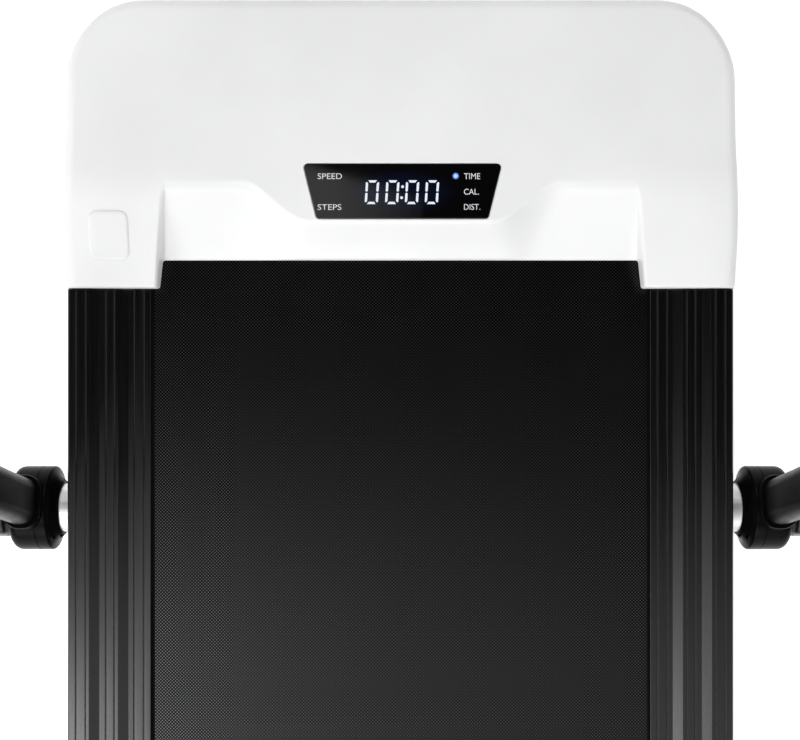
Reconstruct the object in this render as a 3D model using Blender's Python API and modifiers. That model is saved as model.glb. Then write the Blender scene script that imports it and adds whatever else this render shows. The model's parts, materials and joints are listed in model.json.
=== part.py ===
"""Folding treadmill with a low white motor hood, stepped foot rails and a U-shaped handrail that folds down
round the deck.

Metres, +Z up, +Y towards the hood, +X to the right seen from above with the hood at the top. The origin lies
on the floor under the middle of the deck. The handrail is drawn raised, leaning forward on its stop.
"""

import math

import bmesh
import bpy
from mathutils import Matrix, Vector

# Clearances
GAP = 0.0003
RUNNING_GAP = 0.0003
CUT_PAST = 0.010

# Deck
DECK_LENGTH = 1.245
GROUND_GAP = 0.0225
RAIL_TOP_Z = 0.100
RAIL_WIDTH = 0.0658
BELT_SIDE_GAP = 0.00275
RAIL_WALL = 0.003
RAIL_STEP = 0.0025
RAIL_LOW_LAND = 0.0181
RAIL_MIDDLE_LAND = 0.0151
RAIL_SLOPE = 0.0077
RAIL_BOTTOM_Z = 0.030
RAIL_BOTTOM_LIP = 0.008
RAIL_EDGE = 0.002
RAIL_WEB = 0.0025
WEB_INSET = 0.0045
LIP_CLEARANCE = 0.0011

# Frame
TUBE_WIDTH = 0.030
TUBE_HEIGHT = 0.060
TUBE_WALL = 0.0018
TUBE_SIDE_INSET = 0.0252
TUBE_FRONT_INSET = 0.0525
TUBE_REAR_INSET = 0.0225
TENSION_TRAVEL = 0.020
CROSS_WIDTH = 0.040
CROSS_HEIGHT = 0.016
CROSS_FRONT_INSET = 0.2775
CROSS_REAR_INSET = 0.1275
CUSHION_SIZE = 0.036
CUSHION_HEIGHT = 0.008
CUSHION_CORNER = 0.006
CUSHION_SIDE_INSET = 0.061

# Belt and rollers
BELT_TOP_Z = 0.092
BELT_THICKNESS = 0.0016
BELT_WIDTH = 0.3961
BELT_SHIFT = 0.0016
ROLLER_RADIUS = 0.020
ROLLER_SPARE_LENGTH = 0.0029
ROLLER_SHELL = 0.0025
ROLLER_PLUG = 0.016
ROLLER_EDGE = 0.001
FRONT_ROLLER_INSET = 0.1675
REAR_ROLLER_INSET = 0.030
AXLE_RADIUS = 0.006
AXLE_END_GAP = 0.0045
BOARD_THICKNESS = 0.012
BOARD_SIDE_GAP = 0.011
BOARD_END_GAP = 0.0075
BOLT_RADIUS = 0.003
BOLT_HEAD_RADIUS = 0.005
BOLT_HEAD_LENGTH = 0.006
BOLT_RECESS = 0.006
BOLT_LENGTH = 0.060
HEX_KEY_RADIUS = 0.0029
HEX_KEY_DEPTH = 0.0035

# Hood
HOOD_SIDE_STEP = 0.0009
HOOD_LENGTH = 0.2286
HOOD_CORNER_RADIUS = 0.065
HOOD_DRAFT = 0.001
HOOD_RIM_RADIUS = 0.010
HOOD_WALL = 0.003
HOOD_CREST_Z = 0.128
HOOD_CREST_INSET = 0.1337
HOOD_FRONT_DROP = 0.010
PAD_DROP = 0.020
PAD_BEND = 0.0268
RAMP_FRONT_INSET = 0.1462
RAMP_REAR_INSET = 0.2063
RAMP_REAR_Z = 0.0975
RAMP_WALL_GAP = 0.002
BELT_MOUTH = 0.0022
PAD_EDGE_SIDE_INSET = 0.0171
PAD_EDGE_FLARE = 0.1097
PAD_EDGE_FRONT_INSET = 0.1493
BULGE_REAR_INSET = 0.1768
BULGE_REAR_HALF = 0.0765
BULGE_SIDE_INSET = 0.1508
BULGE_SIDE_HALF = 0.1122
BULGE_ROOT_INSET = 0.1435
BULGE_ROOT_HALF = 0.1250
BULGE_WALL_SLOPE = 2.8
PAN_THICKNESS = 0.0027
PAN_INSET = 0.0008

# Display
LENS_FRONT_INSET = 0.1327
LENS_LENGTH = 0.0426
LENS_FRONT_HALF = 0.0773
LENS_REAR_HALF = 0.0666
LENS_SHIFT = 0.0015
LENS_CORNER = 0.003
LENS_THICKNESS = 0.0018
LENS_LEDGE = 0.005
BOARD_SHEET = 0.0016
LED_BLOCK_HEIGHT = 0.0055
LED_BLOCK_HALF = (0.055, 0.0125)
DISPLAY_BOARD_INSET = (0.002, 0.003)
DISPLAY_BOARD_SHIFT = 0.0015
BOARD_POST_INSET = 0.003
BOARD_POST_HALF = (0.002, 0.010)

# Seat of the magnetic safety key
KEY_SEAT_SIDE_INSET = 0.0387
KEY_SEAT_FRONT_INSET = 0.1871
KEY_SEAT_WIDTH = 0.0306
KEY_SEAT_LENGTH = 0.0385
KEY_SEAT_CORNER = 0.0064
KEY_SEAT_DEPTH = 0.0012
KEY_SEAT_PROUD = 0.0008

# Motor bay
TRAY_SHEET = 0.002
TRAY_REAR_INSET = 0.1905
TRAY_FRONT_INSET = 0.0165
MOTOR_RADIUS = 0.040
MOTOR_LENGTH = 0.130
MOTOR_BELL = 0.014
MOTOR_BELL_STEP = 0.004
MOTOR_SIDE_INSET = 0.044
MOTOR_FRONT_INSET = 0.0775
MOTOR_SADDLE = 0.004
SADDLE_SIZE = (0.090, 0.048)
SADDLE_HEIGHT = 0.012
SHAFT_RADIUS = 0.005
SHAFT_PROUD = 0.001
MOTOR_PULLEY_RADIUS = 0.013
ROLLER_PULLEY_RADIUS = 0.035
PULLEY_FLANGE = 0.002
PULLEY_WIDTH = 0.012
PULLEY_TUBE_GAP = 0.0045
DRIVE_BELT_WIDTH = 0.008
DRIVE_BELT_THICKNESS = 0.002
CONTROL_SIDE_INSET = 0.041
CONTROL_FRONT_INSET = 0.0545
CONTROL_SIZE = (0.155, 0.078)
STANDOFF_HEIGHT = 0.008
STANDOFF_SIZE = 0.006
STANDOFF_INSET = 0.008
CAPACITOR_RADIUS = 0.011
CAPACITOR_HEIGHT = 0.034
CAPACITOR_PLACES = ((0.030, 0.032), (0.060, 0.032))
RELAY_PLACE = (0.095, 0.020)
RELAY_SIZE = (0.030, 0.025, 0.018)
SINK_INSET = 0.010
SINK_HEIGHT = 0.050
SINK_DEPTH = 0.018
SINK_PLATE = 0.004
SINK_FIN = 0.002
SINK_FINS = 10

# Connection panel in the hood's front face
PANEL_SIDE_INSET = 0.0895
PANEL_WIDTH = 0.134
PANEL_LOW_Z = 0.036
PANEL_HIGH_Z = 0.088
PANEL_DEPTH = 0.0065
PANEL_WALL = 0.005
PANEL_FLANGE = 0.0025
SOCKET_ALONG_PANEL = 0.030
SOCKET_FLANGE = (0.048, 0.030)
SOCKET_BODY = (0.030, 0.022)
SOCKET_WELL = (0.0245, 0.0165)
SOCKET_DEPTH = 0.026
SOCKET_FLOOR = 0.004
PIN_SIZE = (0.002, 0.004)
PIN_LENGTH = 0.014
PIN_SPACING = 0.007
PIN_DROP = 0.001
PIN_RISE = 0.003
SWITCH_ALONG_PANEL = 0.076
SWITCH_FLANGE = (0.021, 0.030)
SWITCH_BODY = (0.018, 0.026)
SWITCH_WELL = (0.0145, 0.0225)
SWITCH_DEPTH = 0.020
SWITCH_FLOOR = 0.004
ROCKER_TILT = math.radians(8)
ROCKER_THICKNESS = 0.003
ROCKER_RISE = 0.0022
BREAKER_ALONG_PANEL = 0.110
BREAKER_FLANGE_RADIUS = 0.0105
BREAKER_BODY_RADIUS = 0.008
BREAKER_DEPTH = 0.024
BUTTON_RADIUS = 0.0045
BUTTON_PROUD = 0.0032
BUTTON_LENGTH = 0.012
BUTTON_TRAVEL_SPACE = 0.004

# Rear end caps
CAP_LENGTH = 0.047
CAP_WALL = 0.003
CAP_CORNER_RADIUS = 0.022
CAP_BOTTOM_Z = 0.0225
CAP_OVER_RAIL = 0.0012
CAP_BEVEL = 0.0015

# Feet and transport wheels
FOOT_RADIUS = 0.018
FOOT_FLARE = 0.002
FOOT_EDGE = 0.001
FRONT_FOOT_INSET = 0.1525
REAR_FOOT_INSET = 0.0775
WHEEL_RADIUS = 0.026
WHEEL_WIDTH = 0.016
WHEEL_SIDE_INSET = 0.0328
WHEEL_FRONT_INSET = 0.0265
WHEEL_Z = 0.034
WHEEL_PIN_RADIUS = 0.004
WHEEL_PIN_HEAD = 0.0055
WHEEL_PIN_CAP = 0.002
WHEEL_HUB_HALF = 0.0106
WHEEL_HUB_WALL = 0.004
WHEEL_EDGE = 0.002
WHEEL_WELL_GAP = 0.003
EAR_SHEET = 0.002
EAR_LENGTH = 0.024
EAR_TOP = 0.010

# Handrail
PIVOT_INSET = 0.4075
PIVOT_Z = 0.060
LEAN = math.radians(13.3)
PIVOT_TUBE_RADIUS = 0.020
PIVOT_TUBE_WALL = 0.003
PIVOT_TUBE_PLUG = 0.004
HUB_SIDE_GAP = 0.0118
HUB_TAPER = 0.0067
HUB_RADIUS = 0.0345
HUB_NOSE_RADIUS = 0.0225
HUB_EDGE = 0.0025
HUB_SHOULDER = 0.0006
HUB_END_WALL = 0.0173
LEG_FROM_HUB = 0.024
LEG_THICKNESS = 0.022
LEG_DEPTH = 0.037
LEG_CORNER = 0.0095
LEG_WALL = 0.0015
LEG_FOOT_WALL = 0.002
SLEEVE_WALL = 0.003
SLEEVE_TOP = 0.040
RAIL_REACH = 0.870
BEND_RADIUS = 0.075
BEND_STEPS = 7
GRIP_THICKNESS = 0.0045
GRIP_START = 0.062
GRIP_BEND_GAP = 0.0163
HOLDER_HALF = 0.055
HOLDER_WALL = 0.004
HOLDER_SLOT = 0.014
HOLDER_LIP = 0.010
HOLDER_BACK_HEIGHT = 0.085
HOLDER_BACK_LEAN = math.radians(18)
WASHER_RADIUS = 0.015
WASHER_THICKNESS = 0.0024
SHANK_RADIUS = 0.005
KNOB_RADIUS = 0.0237
KNOB_LOBES = 7
KNOB_LOBE_HEIGHT = 0.0009
KNOB_LENGTH = 0.0187
KNOB_BEVEL = 0.0025
KNOB_OUTLINE_STEPS = 6
KNOB_NECK_RADIUS = 0.014
KNOB_NECK_LENGTH = 0.0034
SHANK_REACH = 0.020

# Facets of round shapes
FINE = 28
MEDIUM = 20
COARSE = 16
SMALL = 12

# Places that follow from the sizes above
FRONT_Y = DECK_LENGTH / 2
REAR_Y = -DECK_LENGTH / 2
RAIL_INNER_X = BELT_WIDTH / 2 + BELT_SIDE_GAP
RAIL_OUTER_X = RAIL_INNER_X + RAIL_WIDTH
TUBE_INNER_X = RAIL_INNER_X + TUBE_SIDE_INSET
HOOD_HALF_WIDTH = RAIL_OUTER_X + HOOD_SIDE_STEP
HOOD_CREST_Y = FRONT_Y - HOOD_CREST_INSET
PAD_END_Y = FRONT_Y - HOOD_LENGTH
PAD_EDGE_FRONT_X = RAIL_INNER_X - PAD_EDGE_SIDE_INSET
PAD_EDGE_FRONT_Y = FRONT_Y - PAD_EDGE_FRONT_INSET
RAMP_FRONT_Y = FRONT_Y - RAMP_FRONT_INSET
RAMP_REAR_Y = FRONT_Y - RAMP_REAR_INSET
BULGE_REAR_Y = FRONT_Y - BULGE_REAR_INSET
BULGE_SIDE_Y = FRONT_Y - BULGE_SIDE_INSET
BULGE_ROOT_Y = FRONT_Y - BULGE_ROOT_INSET
LENS_FRONT_Y = FRONT_Y - LENS_FRONT_INSET
LENS_REAR_Y = LENS_FRONT_Y - LENS_LENGTH
KEY_SEAT_X = -(HOOD_HALF_WIDTH - KEY_SEAT_SIDE_INSET)
KEY_SEAT_Y = FRONT_Y - KEY_SEAT_FRONT_INSET
ROLLER_LENGTH = BELT_WIDTH + ROLLER_SPARE_LENGTH
FRONT_ROLLER_Y = FRONT_Y - FRONT_ROLLER_INSET
BELT_INNER_RADIUS = ROLLER_RADIUS + GAP
BELT_OUTER_RADIUS = BELT_INNER_RADIUS + BELT_THICKNESS
ROLLER_Z = BELT_TOP_Z - BELT_OUTER_RADIUS
REAR_ROLLER_Y = REAR_Y + REAR_ROLLER_INSET
BOARD_WIDTH = 2 * (TUBE_INNER_X - BOARD_SIDE_GAP)
BOARD_TOP_Z = BELT_TOP_Z - BELT_THICKNESS - GAP
BOARD_BOTTOM_Z = BOARD_TOP_Z - BOARD_THICKNESS
CUSHION_X = TUBE_INNER_X - CUSHION_SIDE_INSET
CROSS_FRONT_Y = FRONT_Y - CROSS_FRONT_INSET
CROSS_REAR_Y = REAR_Y + CROSS_REAR_INSET
CROSS_MIDDLE_Y = (CROSS_FRONT_Y + CROSS_REAR_Y) / 2
CROSS_TOP_Z = BOARD_BOTTOM_Z - CUSHION_HEIGHT - 2 * GAP
PAN_TOP_Z = GROUND_GAP + PAN_THICKNESS
HOOD_BOTTOM_Z = PAN_TOP_Z + GAP
TUBE_BOTTOM_Z = HOOD_BOTTOM_Z + GAP
TUBE_TOP_Z = TUBE_BOTTOM_Z + TUBE_HEIGHT
TUBE_OUTER_X = TUBE_INNER_X + TUBE_WIDTH
TUBE_FRONT_Y = FRONT_Y - TUBE_FRONT_INSET
TUBE_REAR_Y = REAR_Y + TUBE_REAR_INSET
TUBE_MIDDLE_X = TUBE_INNER_X + TUBE_WIDTH / 2
TRAY_BOTTOM_Z = TUBE_BOTTOM_Z + GAP
TRAY_TOP_Z = TRAY_BOTTOM_Z + TRAY_SHEET
TRAY_FRONT_Y = FRONT_Y - TRAY_FRONT_INSET
TRAY_REAR_Y = FRONT_Y - TRAY_REAR_INSET
MOTOR_INNER_X = MOTOR_SIDE_INSET + MOTOR_LENGTH - TUBE_INNER_X
MOTOR_Y = FRONT_Y - MOTOR_FRONT_INSET
CONTROL_HIGH = (TUBE_INNER_X - CONTROL_SIDE_INSET, FRONT_Y - CONTROL_FRONT_INSET)
CONTROL_LOW = (CONTROL_HIGH[0] - CONTROL_SIZE[0], CONTROL_HIGH[1] - CONTROL_SIZE[1])
MOTOR_Z = TRAY_TOP_Z + MOTOR_SADDLE + MOTOR_RADIUS + GAP
WHEEL_X = TUBE_INNER_X - WHEEL_SIDE_INSET
WHEEL_Y = FRONT_Y - WHEEL_FRONT_INSET
FRONT_FOOT_Y = FRONT_Y - FRONT_FOOT_INSET
REAR_FOOT_Y = REAR_Y + REAR_FOOT_INSET
PULLEY_OUTER_X = -(TUBE_INNER_X - PULLEY_TUBE_GAP)
PULLEY_MIDDLE_X = PULLEY_OUTER_X + PULLEY_WIDTH / 2
PANEL_LOW_X = -(HOOD_HALF_WIDTH - PANEL_SIDE_INSET)
PANEL_HIGH_X = PANEL_LOW_X + PANEL_WIDTH
SOCKET_X = PANEL_LOW_X + SOCKET_ALONG_PANEL
SWITCH_X = PANEL_LOW_X + SWITCH_ALONG_PANEL
BREAKER_X = PANEL_LOW_X + BREAKER_ALONG_PANEL
PANEL_Y = FRONT_Y - PANEL_DEPTH
PANEL_MIDDLE_Z = (PANEL_LOW_Z + PANEL_HIGH_Z) / 2
FLANGE_FRONT_Y = PANEL_Y + GAP + PANEL_FLANGE
AXLE_HALF_LENGTH = TUBE_OUTER_X - AXLE_END_GAP
CAP_FRONT_Y = REAR_Y + CAP_LENGTH
PAD_SLOPE = PAD_DROP / (HOOD_CREST_Y - PAD_END_Y - PAD_BEND / 2)
PIVOT_Y = FRONT_Y - PIVOT_INSET
HUB_INNER_X = HOOD_HALF_WIDTH + HUB_SIDE_GAP
LEG_X = HUB_INNER_X + LEG_FROM_HUB
GRIP_END = LEG_X - BEND_RADIUS - GRIP_BEND_GAP
HUB_OUTER_X = LEG_X + LEG_THICKNESS / 2 + GAP + SLEEVE_WALL + HUB_SHOULDER
PIVOT_TUBE_END_X = HUB_OUTER_X - HUB_END_WALL
WASHER_X = HUB_OUTER_X + GAP
NECK_X = WASHER_X + WASHER_THICKNESS + GAP
KNOB_X = NECK_X + KNOB_NECK_LENGTH
BAR_LOW = RAIL_REACH - LEG_THICKNESS / 2
BAR_HIGH = RAIL_REACH + LEG_THICKNESS / 2
SIDES = (("left", -1), ("right", 1))


# Scene helpers

def clear_scene():
    for obj in list(bpy.data.objects):
        bpy.data.objects.remove(obj, do_unlink=True)


def new_collection(name):
    collection = bpy.data.collections.new(name)
    bpy.context.scene.collection.children.link(collection)
    return collection


def finish(name, colour, roughness, metallic=0.0):
    material = bpy.data.materials.new(name)
    material.use_nodes = True
    shader = material.node_tree.nodes["Principled BSDF"]
    shader.inputs["Base Color"].default_value = (*colour, 1.0)
    shader.inputs["Roughness"].default_value = roughness
    shader.inputs["Metallic"].default_value = metallic
    material.diffuse_color = (*colour, 1.0)
    return material


clear_scene()
PARTS = new_collection("folding_treadmill")
CUTTERS = new_collection("cutters")

WHITE = finish("hood_white", (0.90, 0.90, 0.90), 0.35)
BLACK_RAIL = finish("rail_black", (0.03, 0.03, 0.03), 0.35)
BLACK_PLASTIC = finish("plastic_black", (0.025, 0.025, 0.026), 0.45)
BLACK_PAINT = finish("paint_black", (0.03, 0.03, 0.03), 0.40)
BELT_BLACK = finish("belt_black", (0.015, 0.015, 0.016), 0.80)
RUBBER = finish("rubber_black", (0.02, 0.02, 0.02), 0.85)
STEEL = finish("steel_polished", (0.80, 0.80, 0.80), 0.15, 1.0)
ZINC = finish("zinc", (0.60, 0.61, 0.62), 0.35, 1.0)
ALUMINIUM = finish("aluminium", (0.70, 0.70, 0.72), 0.40, 1.0)
WOOD = finish("deck_fibreboard", (0.25, 0.17, 0.10), 0.70)
GLASS = finish("display_lens", (0.01, 0.01, 0.012), 0.05)
BOARD_GREEN = finish("circuit_board", (0.03, 0.18, 0.07), 0.50)
FOAM = finish("foam_black", (0.02, 0.02, 0.02), 0.90)


def as_mesh(bm, name):
    mesh = bpy.data.meshes.new(name)
    bm.to_mesh(mesh)
    bm.free()
    return mesh


def place(name, mesh, surface, location=(0, 0, 0), rotation=(0, 0, 0), parent=None):
    obj = bpy.data.objects.new(name, mesh)
    obj.location = location
    obj.rotation_euler = rotation
    obj.parent = parent
    if surface:
        mesh.materials.append(surface)
        PARTS.objects.link(obj)
        mesh.shade_smooth()
        mesh.set_sharp_from_angle(angle=math.radians(35))
    else:
        CUTTERS.objects.link(obj)
        obj.hide_render = True
        obj.display_type = "WIRE"
    return obj


def boolean(obj, tool, operation="DIFFERENCE"):
    modifier = obj.modifiers.new(operation.lower(), "BOOLEAN")
    modifier.operation = operation
    modifier.solver = "EXACT"
    modifier.object = tool
    return obj


def bevel(obj, width, segments=1):
    modifier = obj.modifiers.new("edges", "BEVEL")
    modifier.width = width
    modifier.segments = segments
    modifier.limit_method = "ANGLE"
    modifier.angle_limit = math.radians(40)
    return obj


def box(name, low, high, surface=None):
    low, high = Vector(low), Vector(high)
    bm = bmesh.new()
    bmesh.ops.create_cube(bm, size=1)
    bmesh.ops.scale(bm, vec=high - low, verts=bm.verts)
    return place(name, as_mesh(bm, name), surface, (low + high) / 2)


OUTLINE_TURN = {"X": (math.pi / 2, 0, math.pi / 2), "Y": (math.pi / 2, 0, 0), "Z": (0, 0, 0)}
TURNED_TURN = {"X": (0, math.pi / 2, 0), "Y": (-math.pi / 2, 0, 0), "Z": (0, 0, 0)}


def along(axis, value):
    return Vector([value if letter == axis else 0.0 for letter in "XYZ"])


def weld(mesh):
    """Joins a curve's loose caps to its sides and makes each flat cap one face."""
    bm = bmesh.new()
    bm.from_mesh(mesh)
    bmesh.ops.remove_doubles(bm, verts=bm.verts, dist=1e-6)
    bmesh.ops.dissolve_limit(bm, angle_limit=math.radians(0.1), verts=bm.verts, edges=bm.edges)
    bmesh.ops.recalc_face_normals(bm, faces=bm.faces)
    bm.to_mesh(mesh)
    bm.free()


def curve_to_mesh(guide, name, surface, parent):
    """The solid of a filled or bevelled curve, as a welded mesh with the curve's own place."""
    CUTTERS.objects.link(guide)
    bpy.context.view_layer.update()
    graph = bpy.context.evaluated_depsgraph_get()
    mesh = bpy.data.meshes.new_from_object(guide.evaluated_get(graph))
    mesh.materials.clear()
    weld(mesh)
    location, rotation = guide.location.copy(), guide.rotation_euler.copy()
    bpy.data.objects.remove(guide, do_unlink=True)
    return place(name, mesh, surface, location, rotation, parent)


def add_loop(curve, points):
    spline = curve.splines.new("POLY")
    spline.points.add(len(points) - 1)
    for point, place_at in zip(spline.points, points):
        point.co = (place_at[0], place_at[1], 0, 1)
    spline.use_cyclic_u = True


def prism(name, outlines, low, high, axis, surface=None, parent=None):
    """Flat outlines, the first with the others as holes, drawn out along an axis from low to high."""
    curve = bpy.data.curves.new(name, "CURVE")
    curve.dimensions = "2D"
    curve.fill_mode = "BOTH"
    curve.extrude = (high - low) / 2
    for outline in outlines:
        add_loop(curve, outline)
    guide = bpy.data.objects.new(name, curve)
    guide.location = along(axis, (low + high) / 2)
    guide.rotation_euler = OUTLINE_TURN[axis]
    return curve_to_mesh(guide, name, surface, parent)


def turned(name, profile, axis, centre, steps, surface=None, closed=False, parent=None):
    """A profile of (radius, place along the axis), top to bottom on its outer side, turned round the axis."""
    bm = bmesh.new()
    points = [bm.verts.new((radius, 0, height)) for radius, height in profile]
    pairs = zip(points, points[1:] + points[:1]) if closed else zip(points, points[1:])
    for first, second in pairs:
        bm.edges.new((first, second))
    obj = place(name, as_mesh(bm, name), surface, centre, TURNED_TURN[axis], parent)
    screw = obj.modifiers.new("turn", "SCREW")
    screw.steps = steps
    screw.render_steps = steps
    screw.use_merge_vertices = True
    screw.merge_threshold = 1e-6
    return obj


def rod(name, radius, low, high, axis, centre, steps, surface=None, parent=None):
    bm = bmesh.new()
    bmesh.ops.create_cone(bm, cap_ends=True, segments=steps, radius1=radius, radius2=radius,
                          depth=high - low)
    bmesh.ops.translate(bm, vec=(0, 0, (low + high) / 2), verts=bm.verts)
    return place(name, as_mesh(bm, name), surface, centre, TURNED_TURN[axis], parent)


# Outline helpers

def rectangle(low, high):
    return [(low[0], low[1]), (high[0], low[1]), (high[0], high[1]), (low[0], high[1])]


def centred(centre, size):
    return rectangle([c - s / 2 for c, s in zip(centre, size)], [c + s / 2 for c, s in zip(centre, size)])


def rounded(points, radius, steps=4):
    """The same outline with every corner turned into an arc."""
    result = []
    for index, corner in enumerate(points):
        corner = Vector(corner)
        before = (Vector(points[index - 1]) - corner).normalized()
        after = (Vector(points[(index + 1) % len(points)]) - corner).normalized()
        half_angle = before.angle(after) / 2
        centre = corner + (before + after).normalized() * radius / math.sin(half_angle)
        start = corner + before * radius / math.tan(half_angle) - centre
        end = corner + after * radius / math.tan(half_angle) - centre
        turn = start.angle_signed(end)
        for step in range(steps + 1):
            result.append(tuple(centre + Matrix.Rotation(-turn * step / steps, 2) @ start))
    return result


def offset(points, distance):
    """A counter-clockwise outline moved outwards, or inwards with a negative distance."""
    result = []
    for index, corner in enumerate(points):
        corner = Vector(corner)
        before = (corner - Vector(points[index - 1])).normalized()
        after = (Vector(points[(index + 1) % len(points)]) - corner).normalized()
        normals = Vector((before.y, -before.x)), Vector((after.y, -after.x))
        middle = (normals[0] + normals[1]).normalized()
        result.append(tuple(corner + middle * distance / middle.dot(normals[0])))
    return result


def round_the_pair(first, first_radius, second, second_radius, steps):
    """The outline of a belt round two wheels, counter-clockwise."""
    first, second = Vector(first), Vector(second)
    line = second - first
    heading = math.atan2(line.y, line.x)
    spread = math.acos((first_radius - second_radius) / line.length)
    result = []
    for centre, radius, start, end in (
        (second, second_radius, -spread, spread),
        (first, first_radius, spread, 2 * math.pi - spread),
    ):
        for step in range(steps + 1):
            angle = heading + start + (end - start) * step / steps
            result.append(tuple(centre + radius * Vector((math.cos(angle), math.sin(angle)))))
    return result


def mirrored(points, side):
    return [(side * x, y) for x, y in points]


def outward(profile, side):
    """A turned profile drawn for the right side, kept there or turned over for the left side."""
    return profile if side > 0 else [(radius, -x) for radius, x in reversed(profile)]


# Frame

def frame_tube(label, side):
    low = (side * TUBE_INNER_X, TUBE_REAR_Y, TUBE_BOTTOM_Z)
    high = (side * TUBE_OUTER_X, TUBE_FRONT_Y, TUBE_TOP_Z)
    section = centred((side * TUBE_MIDDLE_X, (TUBE_BOTTOM_Z + TUBE_TOP_Z) / 2), (TUBE_WIDTH, TUBE_HEIGHT))
    tube = prism(f"frame_tube_{label}", [section, offset(section, -TUBE_WALL)], low[1], high[1], "Y",
                 BLACK_PAINT)
    hole = rod(f"front_axle_hole_{label}", AXLE_RADIUS + GAP, -TUBE_WALL, TUBE_WALL, "X",
               (side * TUBE_INNER_X, FRONT_ROLLER_Y, ROLLER_Z), COARSE)
    reach, half = 2 * TUBE_WALL, AXLE_RADIUS + GAP
    slot = box(f"rear_axle_slot_{label}",
               (side * TUBE_INNER_X - reach, TUBE_REAR_Y - CUT_PAST, ROLLER_Z - half),
               (side * TUBE_INNER_X + reach, REAR_ROLLER_Y + TENSION_TRAVEL, ROLLER_Z + half))
    boolean(tube, hole)
    boolean(tube, slot)


def cross_member(name, middle_y):
    half = TUBE_INNER_X - GAP
    section = centred((middle_y, CROSS_TOP_Z - CROSS_HEIGHT / 2), (CROSS_WIDTH, CROSS_HEIGHT))
    prism(name, [section, offset(section, -TUBE_WALL)], -half, half, "X", BLACK_PAINT)


def motor_tray():
    half = TUBE_INNER_X - GAP
    outline = rectangle((-half, TRAY_REAR_Y), (half, TRAY_FRONT_Y))
    well_half = WHEEL_HUB_HALF + GAP
    wells = [rectangle((side * WHEEL_X - well_half, WHEEL_Y - WHEEL_RADIUS - WHEEL_WELL_GAP),
                       (side * WHEEL_X + well_half, TRAY_FRONT_Y + CUT_PAST)) for _, side in SIDES]
    tray = prism("motor_tray", [outline], TRAY_BOTTOM_Z, TRAY_TOP_Z, "Z", BLACK_PAINT)
    for (label, side), well in zip(SIDES, wells):
        boolean(tray, prism(f"tray_well_{label}", [well], TRAY_BOTTOM_Z - CUT_PAST, TRAY_TOP_Z + CUT_PAST,
                            "Z"))
        for edge in (-1, 1):
            inner = side * WHEEL_X + edge * well_half
            outer = inner + edge * EAR_SHEET
            ear = box(f"ear_{label}_{'inner' if edge * side < 0 else 'outer'}",
                      (min(inner, outer), TRAY_FRONT_Y - EAR_LENGTH, TRAY_BOTTOM_Z + TRAY_SHEET / 4),
                      (max(inner, outer), TRAY_FRONT_Y, WHEEL_Z + EAR_TOP))
            boolean(tray, ear, "UNION")
        pin_reach = well_half + 2 * EAR_SHEET
        boolean(tray, rod(f"ear_hole_{label}", WHEEL_PIN_RADIUS + GAP, -pin_reach, pin_reach, "X",
                          (side * WHEEL_X, WHEEL_Y, WHEEL_Z), SMALL))
    middle = MOTOR_INNER_X - MOTOR_LENGTH / 2
    half = [size / 2 for size in SADDLE_SIZE]
    saddle = box("saddle", (middle - half[0], MOTOR_Y - half[1], TRAY_TOP_Z - TRAY_SHEET / 4),
                 (middle + half[0], MOTOR_Y + half[1], TRAY_TOP_Z + SADDLE_HEIGHT))
    boolean(saddle, rod("saddle_cradle", MOTOR_RADIUS + GAP, -MOTOR_LENGTH, MOTOR_LENGTH, "X",
                        (middle, MOTOR_Y, MOTOR_Z), FINE))
    boolean(tray, saddle, "UNION")


def frame():
    for label, side in SIDES:
        frame_tube(label, side)
    cross_member("cross_member_front", CROSS_FRONT_Y)
    cross_member("cross_member_middle", CROSS_MIDDLE_Y)
    cross_member("cross_member_rear", CROSS_REAR_Y)
    motor_tray()


# Deck, belt and rollers

def deck():
    rear = REAR_ROLLER_Y + ROLLER_RADIUS + BOARD_END_GAP
    front = FRONT_ROLLER_Y - ROLLER_PULLEY_RADIUS - DRIVE_BELT_THICKNESS - BOARD_END_GAP
    half = BOARD_WIDTH / 2
    box("deck_board", (-half, rear, BOARD_BOTTOM_Z), (half, front, BOARD_TOP_Z), WOOD)
    for label, side in SIDES:
        for end, middle_y in (("front", CROSS_FRONT_Y), ("rear", CROSS_REAR_Y)):
            outline = rounded(centred((side * CUSHION_X, middle_y), (CUSHION_SIZE, CUSHION_SIZE)),
                              CUSHION_CORNER, 2)
            prism(f"deck_cushion_{end}_{label}", [outline], CROSS_TOP_Z + GAP, BOARD_BOTTOM_Z - GAP, "Z",
                  RUBBER)


def running_belt():
    centres = ((REAR_ROLLER_Y, ROLLER_Z), (FRONT_ROLLER_Y, ROLLER_Z))
    loops = [round_the_pair(centres[0], radius, centres[1], radius, COARSE)
             for radius in (BELT_OUTER_RADIUS, BELT_INNER_RADIUS)]
    prism("running_belt", loops, BELT_SHIFT - BELT_WIDTH / 2, BELT_SHIFT + BELT_WIDTH / 2, "X", BELT_BLACK)


def roller(name, middle_y):
    half = ROLLER_LENGTH / 2
    bore = AXLE_RADIUS + RUNNING_GAP
    hollow = ROLLER_RADIUS - ROLLER_SHELL
    rim = ROLLER_RADIUS - ROLLER_EDGE
    profile = [
        (rim, half), (ROLLER_RADIUS, half - ROLLER_EDGE), (ROLLER_RADIUS, ROLLER_EDGE - half), (rim, -half),
        (bore, -half), (bore, ROLLER_PLUG - half), (hollow, ROLLER_PLUG - half),
        (hollow, half - ROLLER_PLUG), (bore, half - ROLLER_PLUG), (bore, half),
    ]
    turned(name, profile, "X", (0, middle_y, ROLLER_Z), MEDIUM, ZINC, closed=True)


def axle(name, middle_y):
    reach = AXLE_HALF_LENGTH
    return rod(name, AXLE_RADIUS, -reach, reach, "X", (0, middle_y, ROLLER_Z), COARSE, ZINC)


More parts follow.
